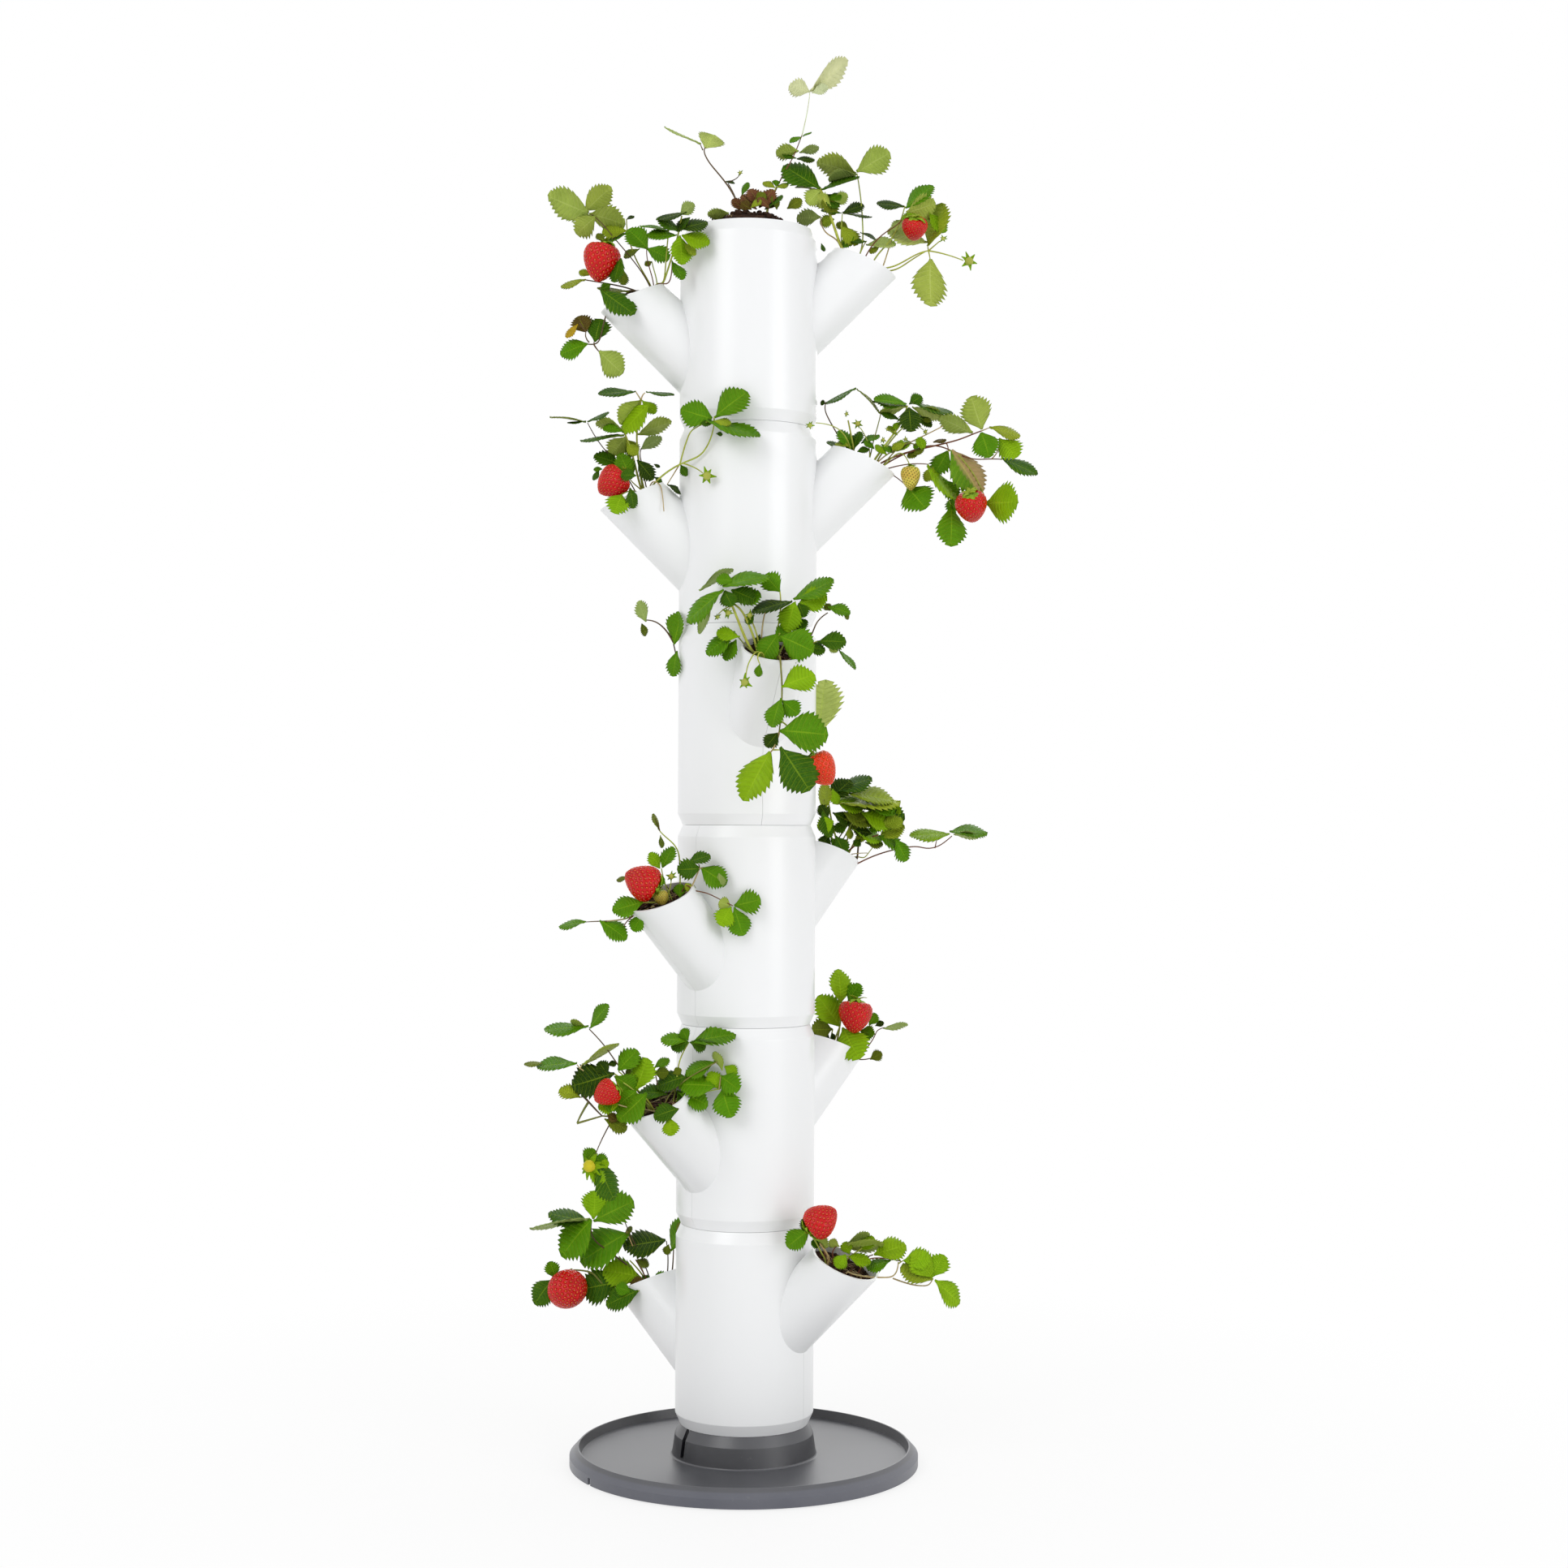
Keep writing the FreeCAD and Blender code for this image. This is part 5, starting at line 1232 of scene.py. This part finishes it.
            (1096, 1006, 1108, 994, 13, "b", -4), (1020, 1009, 1012, 992, 14, "k", -22),
            (1027, 1012, 1008, 1019, 18, "b", -24), (1021, 1027, 1012, 1046, 15, "k", -24),
            (1024, 1033, 1043, 1051, 18, "d", -22), (1075, 1027, 1053, 1023, 12, "k", -14),
            (1026, 1001, 1048, 1013, 14, "k", -18), (1036, 1008, 1068, 1003, 14, "o", -14),
            (1083, 1031, 1112, 1016, 18, "y", -10), (1046, 1019, 1048, 1033, 8, "y", -12),
            (1083, 1029, 1110, 1044, 15, "m", -14), (1103, 1034, 1118, 1059, 18, "m", -16),
            (1066, 1038, 1087, 1040, 10, "o", -12), (1060, 1014, 1046, 1018, 10, "o", -10),
            (1170, 1028, 1123, 1027, 13, "b", -10), (1170, 1024, 1215, 1025, 13, "m", -8),
            (1175, 1028, 1205, 1030, 8, "g", -6), (1060, 1034, 1054, 1042, 9, "d", -12),
            (1090, 1008, 1072, 1022, 14, "m", -12), (1045, 976, 1099, 985, 18, "y", -14),
            (1030, 986, 1062, 994, 17, "b", -14), (1040, 1000, 1074, 1016, 18, "o", -18),
            (1062, 1002, 1100, 1014, 24, "b", -16), (1066, 986, 1102, 1000, 14, "m", -14),
            (1086, 1018, 1110, 1008, 16, "y", -18), (1050, 1021, 1086, 1034, 14, "b", -12),
            (1013, 1000, 1024, 1030, 16, "d", -28), (1016, 1034, 1010, 1052, 14, "k", -30),
            (1030, 1030, 1040, 1050, 17, "d", -22), (1026, 972, 1030, 990, 12, "b", -20),
            (1044, 1012, 1030, 1024, 12, "d", -20), (1068, 1024, 1056, 1036, 10, "y", -10),
        ],
        "stalks": [
            ("y", 1.4, -4, -16, (1030, 1052), (1024, 1030), (1018, 1010), (1015, 985)),
            ("y", 1.2, -2, -16, (1034, 1052), (1030, 1030), (1022, 1005), (1019, 970)),
            ("r", 1.1, -4, -14, (1036, 1056), (1050, 1045), (1062, 1034), (1082, 1029)),
            ("s", 1.3, -4, -12, (1056, 1062), (1057, 1050), (1058, 1036)),
            ("s", 0.9, -4, -14, (1026, 1045), (1036, 1028), (1048, 1012)),
            ("y", 1.0, 0, -12, (1040, 1054), (1044, 1032), (1052, 1008), (1064, 996)),
            ("y", 1.0, 2, -8, (1044, 1056), (1056, 1030), (1066, 1010), (1072, 996)),
            ("r", 0.8, -4, -8, (1050, 1068), (1062, 1061), (1080, 1053), (1100, 1047), (1122, 1043),
             (1132, 1043), (1142, 1046), (1155, 1044), (1164, 1038), (1173, 1030)),
            ("r", 0.6, -8, -10, (1152, 1045), (1154, 1035)),
            ("y", 0.7, -6, -12, (1066, 1060), (1070, 1050), (1079, 1040)),
            ("w", 0.6, -6, -10, (1043, 1053), (1056, 1051), (1069, 1051)),
            ("y", 0.8, -4, -16, (1030, 1054), (1036, 1040), (1044, 1024), (1052, 1010)),
        ],
        "berries": [],
        "buds": [],
    },
    "tier2_low": {
        "root": (815, 1362),
        "leaflets": [
            (725, 1265, 673, 1267, 11, "m", 0), (726, 1267, 747, 1238, 15, "m", 0),
            (722, 1266, 704, 1258, 9, "p", 2), (717, 1311, 760, 1286, 9, "p", 0),
            (711, 1309, 663, 1313, 11, "m", 0), (668, 1310, 647, 1310, 4, "o", 0),
            (757, 1322, 707, 1340, 33, "k", -8), (750, 1325, 738, 1309, 15, "k", -4),
            (762, 1319, 783, 1294, 22, "m", -4), (748, 1312, 759, 1309, 6, "k", 0),
            (783, 1345, 797, 1306, 27, "b", -10), (776, 1310, 789, 1302, 9, "d", 2),
            (757, 1326, 782, 1342, 24, "m", -12), (797, 1347, 764, 1380, 28, "m", -24),
            (762, 1361, 738, 1364, 15, "b", -18), (784, 1344, 760, 1362, 22, "m", -16),
            (740, 1350, 762, 1366, 14, "m", -16), (772, 1331, 778, 1315, 9, "o", 0),
            (807, 1315, 823, 1304, 9, "m", 2), (806, 1322, 823, 1322, 13, "o", 2),
            (829, 1323, 839, 1318, 9, "o", 2), (847, 1283, 816, 1278, 12, "m", 4),
            (848, 1282, 840, 1269, 13, "m", 4), (852, 1283, 904, 1273, 16, "m", 4),
            (858, 1281, 894, 1281, 6, "d", 2), (848, 1284, 828, 1292, 13, "d", 2),
            (850, 1284, 869, 1290, 14, "d", 2), (882, 1309, 846, 1321, 15, "m", 4),
            (890, 1319, 882, 1296, 10, "p", 4), (893, 1314, 908, 1323, 14, "b", 4),
            (888, 1326, 909, 1340, 24, "m", 2), (887, 1342, 876, 1321, 17, "b", 2),
            (890, 1342, 899, 1373, 29, "m", 0), (846, 1326, 809, 1336, 18, "d", 0),
            (881, 1338, 838, 1334, 25, "m", -4), (836, 1346, 872, 1358, 20, "m", -6),
            (834, 1344, 852, 1366, 18, "d", -4), (822, 1348, 790, 1343, 14, "d", -4),
            (836, 1366, 806, 1374, 18, "d", -38), (825, 1377, 828, 1397, 18, "b", -42),
            (716, 1352, 691, 1341, 14, "y", -8), (745, 1378, 771, 1392, 15, "o", -16),
            (748, 1372, 760, 1380, 10, "w", -16), (735, 1432, 757, 1476, 22, "d", -14),
            (738, 1436, 750, 1433, 10, "b", -16), (720, 1434, 732, 1418, 18, "m", -14),
            (724, 1440, 744, 1456, 14, "b", -20), (730, 1428, 748, 1430, 12, "m", -13),
        ],
        "stalks": [
            ("s", 0.8, -2, 0, (800, 1362), (770, 1325), (752, 1298), (741, 1283), (726, 1268)),
            ("w", 0.8, -2, 0, (795, 1364), (760, 1345), (730, 1325), (715, 1318), (711, 1312)),
            ("w", 0.7, 0, 0, (714, 1317), (717, 1312)),
            ("y", 1.0, -2, -8, (800, 1366), (783, 1345), (768, 1330), (757, 1323)),
            ("y", 1.0, -2, -10, (804, 1366), (795, 1358), (783, 1346)),
            ("y", 0.9, 0, -4, (802, 1362), (780, 1335), (762, 1320)),
            ("s", 0.8, 0, 2, (815, 1362), (812, 1345), (808, 1325), (806, 1316)),
            ("o", 0.9, -4, -2, (816, 1368), (820, 1358), (826, 1346), (846, 1328), (880, 1310),
             (884, 1308)),
            ("y", 0.9, 2, 4, (830, 1358), (834, 1330), (836, 1307), (843, 1294), (849, 1284)),
            ("y", 0.8, 0, 0, (838, 1358), (855, 1350), (872, 1344), (886, 1342)),
            ("w", 0.7, 0, 2, (886, 1342), (888, 1326)),
            ("s", 1.1, -8, -16, (718, 1350), (726, 1358), (734, 1368), (742, 1375)),
            ("o", 1.2, -8, -12, (725, 1358), (716, 1372), (711, 1384)),
            ("o", 1.2, -12, -14, (711, 1384), (725, 1380), (742, 1375)),
            ("o", 1.2, -4, -14, (795, 1372), (772, 1378), (757, 1376), (742, 1375)),
            ("s", 0.7, -16, -14, (752, 1384), (743, 1400), (738, 1411), (733, 1424)),
            ("y", 1.2, -4, -22, (806, 1370), (798, 1354), (790, 1349)),
            ("y", 0.9, -6, -14, (802, 1366), (785, 1345), (768, 1334)),
            ("o", 1.0, -20, -38, (826, 1370), (830, 1370), (836, 1366)),
            ("y", 0.9, -36, -42, (830, 1370), (825, 1377)),
            ("w", 0.9, -8, -22, (812, 1372), (794, 1366), (776, 1366), (762, 1361)),
        ],
        "berries": [(748, 1347, 34, 32, 58, "red", -24)],
        "buds": [(726, 1437, 25, -20, True)],
    },
    "tier2_high": {
        "root": (1026, 1292),
        "leaflets": [
            (1036, 1236, 1035, 1196, 23, "b", -8), (1045, 1234, 1057, 1212, 17, "m", -6),
            (1035, 1264, 1009, 1229, 28, "b", -12), (1026, 1268, 1002, 1268, 24, "o", -6),
            (1020, 1274, 1018, 1286, 6, "k", -6), (1025, 1272, 1028, 1281, 6, "k", -6),
            (1038, 1266, 1055, 1300, 37, "b", -14), (1060, 1270, 1075, 1274, 16, "m", -12),
            (1071, 1263, 1080, 1250, 13, "m", -4), (1078, 1264, 1088, 1259, 6, "k", -4),
            (1088, 1267, 1117, 1262, 9, "g", -4), (1072, 1305, 1086, 1298, 12, "o", -8),
        ],
        "stalks": [
            ("y", 1.2, -4, -8, (1030, 1290), (1034, 1270), (1037, 1250), (1037, 1236)),
            ("y", 1.0, -2, -12, (1026, 1290), (1030, 1276), (1035, 1264)),
            ("y", 1.0, -2, -6, (1022, 1290), (1024, 1278), (1026, 1268)),
            ("y", 1.0, -4, -14, (1036, 1292), (1040, 1280), (1039, 1267)),
            ("y", 0.8, -4, -10, (1034, 1290), (1046, 1262), (1052, 1240)),
            ("r", 0.7, -2, -4, (1062, 1300), (1075, 1282), (1079, 1274), (1081, 1268), (1090, 1266)),
            ("s", 0.7, -4, -4, (1078, 1275), (1074, 1266)),
            ("s", 0.8, -4, -8, (1055, 1306), (1064, 1306), (1073, 1304)),
        ],
        "berries": [(1054, 1251, 43, 41, 6, "red", -24)],
        "buds": [],
    },
    "tier1_low": {
        "root": (805, 1578),
        "leaflets": [
            (731, 1502, 734, 1470, 27, "b", -2), (731, 1504, 778, 1481, 31, "m", -4),
            (727, 1503, 656, 1510, 13, "g", -2), (724, 1506, 678, 1494, 13, "d", 2),
            (729, 1503, 690, 1542, 33, "m", -6), (775, 1518, 716, 1551, 34, "m", 0),
            (770, 1523, 777, 1511, 5, "o", 0), (746, 1548, 732, 1557, 11, "o", 0),
            (820, 1528, 770, 1535, 23, "k", 0), (826, 1541, 842, 1500, 17, "m", -2),
            (824, 1533, 820, 1545, 9, "o", -2), (833, 1520, 842, 1506, 7, "o", -2),
            (789, 1574, 746, 1562, 27, "b", -8), (783, 1552, 799, 1559, 8, "o", -4),
            (803, 1580, 822, 1569, 10, "m", -4), (800, 1582, 793, 1572, 9, "d", -6),
            (775, 1586, 793, 1577, 13, "w", -18), (765, 1579, 718, 1588, 34, "d", -14),
            (684, 1575, 679, 1555, 15, "m", -12), (680, 1578, 657, 1604, 24, "d", -16),
            (786, 1590, 748, 1607, 20, "d", -38), (778, 1592, 760, 1586, 13, "m", -36),
        ],
        "stalks": [
            ("s", 0.9, -2, 0, (792, 1576), (775, 1560), (748, 1540), (731, 1529), (727, 1517), (729, 1504)),
            ("s", 0.7, -2, 0, (800, 1574), (790, 1545), (775, 1520), (767, 1498)),
            ("y", 1.0, -2, -8, (796, 1578), (788, 1565), (776, 1553)),
            ("s", 1.0, 0, -2, (828, 1576), (829, 1560), (830, 1540)),
            ("s", 0.8, 0, 0, (822, 1576), (824, 1545), (821, 1529)),
            ("w", 0.9, 0, 0, (795, 1574), (785, 1548), (772, 1517)),
            ("o", 1.3, -4, -14, (792, 1582), (778, 1580), (764, 1579)),
            ("o", 1.2, -10, -14, (788, 1590), (770, 1598), (755, 1598), (745, 1585), (733, 1571),
             (727, 1566), (706, 1564), (696, 1566)), ("o", 0.8, -14, -14, (696, 1566), (686, 1572)),
            ("y", 2.2, -10, -18, (796, 1582), (786, 1582), (776, 1586)),
            ("y", 1.0, -20, -38, (798, 1588), (792, 1588), (784, 1592)),
            ("r", 0.7, -6, -8, (798, 1578), (788, 1560), (783, 1552)),
            ("y", 0.8, -4, -4, (810, 1580), (804, 1580)),
        ],
        "berries": [(701, 1590, 48, 50, -65, "red", -24, 1.6)],
        "buds": [],
    },
    "tier1_high": {
        "root": (1030, 1556),
        "leaflets": [
            (998, 1514, 971, 1536, 20, "m", -18), (996, 1521, 990, 1502, 12, "d", -14),
            (1000, 1519, 1019, 1536, 13, "p", -10), (1013, 1532, 1000, 1532, 11, "d", -6),
            (1036, 1537, 1086, 1530, 20, "p", 2), (1044, 1532, 1070, 1520, 14, "g", 4),
            (1034, 1536, 1022, 1529, 11, "p", 0), (1042, 1546, 1032, 1559, 16, "b", -10),
            (1046, 1548, 1072, 1554, 11, "b", -6), (1047, 1546, 1041, 1531, 13, "b", -2),
            (1077, 1546, 1114, 1533, 21, "b", 2), (1098, 1553, 1069, 1561, 10, "m", 0),
            (1113, 1553, 1145, 1550, 20, "b", -8), (1150, 1576, 1112, 1560, 22, "y", -6),
            (1149, 1574, 1126, 1544, 26, "b", -8), (1148, 1573, 1162, 1548, 24, "b", -4),
            (1152, 1577, 1182, 1605, 20, "b", -6), (1060, 1540, 1075, 1524, 14, "b", 4),
        ],
        "stalks": [
            ("r", 1.1, -4, -4, (1016, 1552), (1016, 1545), (1016, 1536)),
            ("w", 1.4, -6, -10, (1022, 1554), (1020, 1545), (1010, 1532)),
            ("r", 0.9, -2, -2, (1028, 1552), (1024, 1542), (1030, 1536)),
            ("y", 1.0, -2, -6, (1036, 1556), (1040, 1550), (1046, 1547)),
            ("y", 1.1, 0, 2, (1040, 1554), (1052, 1545), (1062, 1538)),
            ("s", 0.9, 0, 0, (1050, 1560), (1068, 1548), (1076, 1546)),
            ("r", 0.8, -2, 0, (1062, 1556), (1074, 1548), (1098, 1551), (1110, 1554)),
            ("w", 0.9, -10, -4, (1043, 1568), (1066, 1574), (1090, 1574), (1100, 1574), (1106, 1567),
             (1107, 1555)),
            ("w", 0.8, -6, -6, (1100, 1575), (1120, 1583), (1138, 1585), (1146, 1584), (1149, 1576)),
            ("y", 1.0, -6, -14, (1014, 1550), (1006, 1530), (998, 1520)),
            ("y", 0.7, -4, -8, (1107, 1557), (1113, 1553)),
        ],
        "berries": [(1012, 1504, 42, 43, -130, "red", -22)],
        "buds": [],
    },
}


class PLANTER_OT_finish_tower(bpy.types.Operator):
    """Give the moulded shells, the plates, the tray, the pads and the soil their finishes"""
    bl_idname = "planter.finish_tower"
    bl_label = "Finish Tower"

    def execute(self, context):
        make_materials(context.scene.planter)
        finishes = {"tray_pads": "Black Rubber", "tray": "Grey Tray Plastic", "soil": "Potting Soil",
                    "drip_floor": "White Satin Plastic", "half": "White Gloss Plastic"}
        for name, node in FRAME["nodes"].items():
            for ending, material in finishes.items():
                if name.endswith(ending):
                    node.data.materials.clear()
                    node.data.materials.append(bpy.data.materials[material])
                    break
        return {"FINISHED"}


class PLANTER_OT_soil(bpy.types.Operator):
    """Lay loose soil, crumbs and roots in every opening"""
    bl_idname = "planter.soil"
    bl_label = "Soil"

    def execute(self, context):
        for name in PLANTS:
            soil_piece(name, context.scene.planter)
        return {"FINISHED"}


class PLANTER_OT_leaves(bpy.types.Operator):
    """Grow the leaves of every plant"""
    bl_idname = "planter.leaves"
    bl_label = "Leaves"

    def execute(self, context):
        for name, plant in PLANTS.items():
            leaf_piece(name, plant, context.scene.planter)
        return {"FINISHED"}


class PLANTER_OT_stalks(bpy.types.Operator):
    """Grow the stalks and runners of every plant"""
    bl_idname = "planter.stalks"
    bl_label = "Stalks"

    def execute(self, context):
        for name, plant in PLANTS.items():
            stalk_piece(name, plant, context.scene.planter)
        return {"FINISHED"}


class PLANTER_OT_fruit(bpy.types.Operator):
    """Hang the berries, and set the buds and the flower"""
    bl_idname = "planter.fruit"
    bl_label = "Fruit and Flowers"

    def execute(self, context):
        for name, plant in PLANTS.items():
            if plant["berries"]:
                berry_piece(name, plant, context.scene.planter)
            if plant["buds"]:
                bud_piece(name, plant)
        return {"FINISHED"}


# The lamps: name, place, width in metres, and power in watts. All point at the tower's middle.
LAMPS = (("key", (-2.2, -2.6, 2.6), 2.2, 38), ("fill", (2.8, -2.2, 1.2), 2.0, 30),
         ("back", (0.4, 2.8, 2.2), 2.0, 22))
LAMP_AIM = Vector((0, 0, 0.65))


class PLANTER_OT_stage(bpy.types.Operator):
    """Set the floor, the soft lights and the camera"""
    bl_idname = "planter.stage"
    bl_label = "Stage"

    def execute(self, context):
        scene = context.scene
        bm = bmesh.new()
        bmesh.ops.create_grid(bm, x_segments=2, y_segments=2, size=30)
        floor = as_object("floor", as_mesh("floor", bm))
        nodes, shader, where = new_material("Pale Floor")
        shader.inputs["Base Color"].default_value = rgba((0.9, 0.9, 0.9))
        shader.inputs["Roughness"].default_value = 0.9
        shader.inputs["Specular IOR Level"].default_value = 0.1
        glow = nodes.add("Emission", {"Color": (1, 1, 1, 1), "Strength": 1.0})
        away = nodes.add("VectorMath", {"Vector": where}, operation="LENGTH").outputs["Value"]
        fade = nodes.span(away, 0.12, 1.0, 0.78, 1.0)
        mixed = nodes.add("MixShader", {0: nodes.math("MULTIPLY", nodes.looked_at(), fade)})
        nodes.feed(mixed.inputs[1], shader.outputs[0])
        nodes.feed(mixed.inputs[2], glow.outputs[0])
        nodes.feed(nodes.tree.nodes["Material Output"].inputs[0], mixed.outputs[0])
        floor.data.materials.append(bpy.data.materials["Pale Floor"])

        world = bpy.data.worlds.new("Studio")
        world.use_nodes = True
        scene.world = world
        sky = Nodes(world.node_tree)
        background = world.node_tree.nodes["Background"]
        sky.feed(background.inputs["Color"], (1, 1, 1, 1))
        sky.feed(background.inputs["Strength"], sky.span(sky.looked_at(), 0, 1, 0.69, 1.0))

        for name, place, size, power in LAMPS:
            light = bpy.data.lights.new(name, "AREA")
            light.shape = "DISK"
            light.size = size
            light.energy = power
            lamp = as_object(name, light)
            lamp.location = place
            lamp.rotation_euler = (LAMP_AIM - Vector(place)).to_track_quat("-Z", "Y").to_euler()

        camera = bpy.data.cameras.new("photo view")
        camera.sensor_width = 36
        camera.lens = FOCAL / PICTURE * camera.sensor_width
        camera.clip_end = 100
        view = as_object("photo view", camera)
        view.location = EYE
        view.rotation_euler = LOOK.to_euler()
        scene.camera = view
        scene.view_settings.view_transform = "Standard"
        return {"FINISHED"}


class PLANTER_PT_tower(bpy.types.Panel):
    """Lists the steps that build the tower's looks"""
    bl_idname = "PLANTER_PT_tower"
    bl_label = "Planter Tower"
    bl_space_type = "VIEW_3D"
    bl_region_type = "UI"
    bl_category = "Planter"

    def draw(self, context):
        for step in STEPS:
            self.layout.operator(step.bl_idname)
        for group in ("tower", "soil", "plants"):
            settings = getattr(context.scene.planter, group)
            box = self.layout.box()
            for name in settings.bl_rna.properties.keys():
                if name not in ("rna_type", "name"):
                    box.prop(settings, name)


STEPS = (PLANTER_OT_finish_tower, PLANTER_OT_soil, PLANTER_OT_leaves, PLANTER_OT_stalks, PLANTER_OT_fruit,
         PLANTER_OT_stage)
CLASSES = (TowerFinish, SoilFinish, PlantSizes, PlanterSettings, *STEPS, PLANTER_PT_tower)


def register():
    for item in CLASSES:
        bpy.utils.register_class(item)
    bpy.types.Scene.planter = bpy.props.PointerProperty(type=PlanterSettings)


def unregister():
    del bpy.types.Scene.planter
    for item in reversed(CLASSES):
        bpy.utils.unregister_class(item)


def main():
    register()
    for step in STEPS:
        group, action = step.bl_idname.split(".")
        getattr(getattr(bpy.ops, group), action)()


if __name__ == "__main__":
    main()
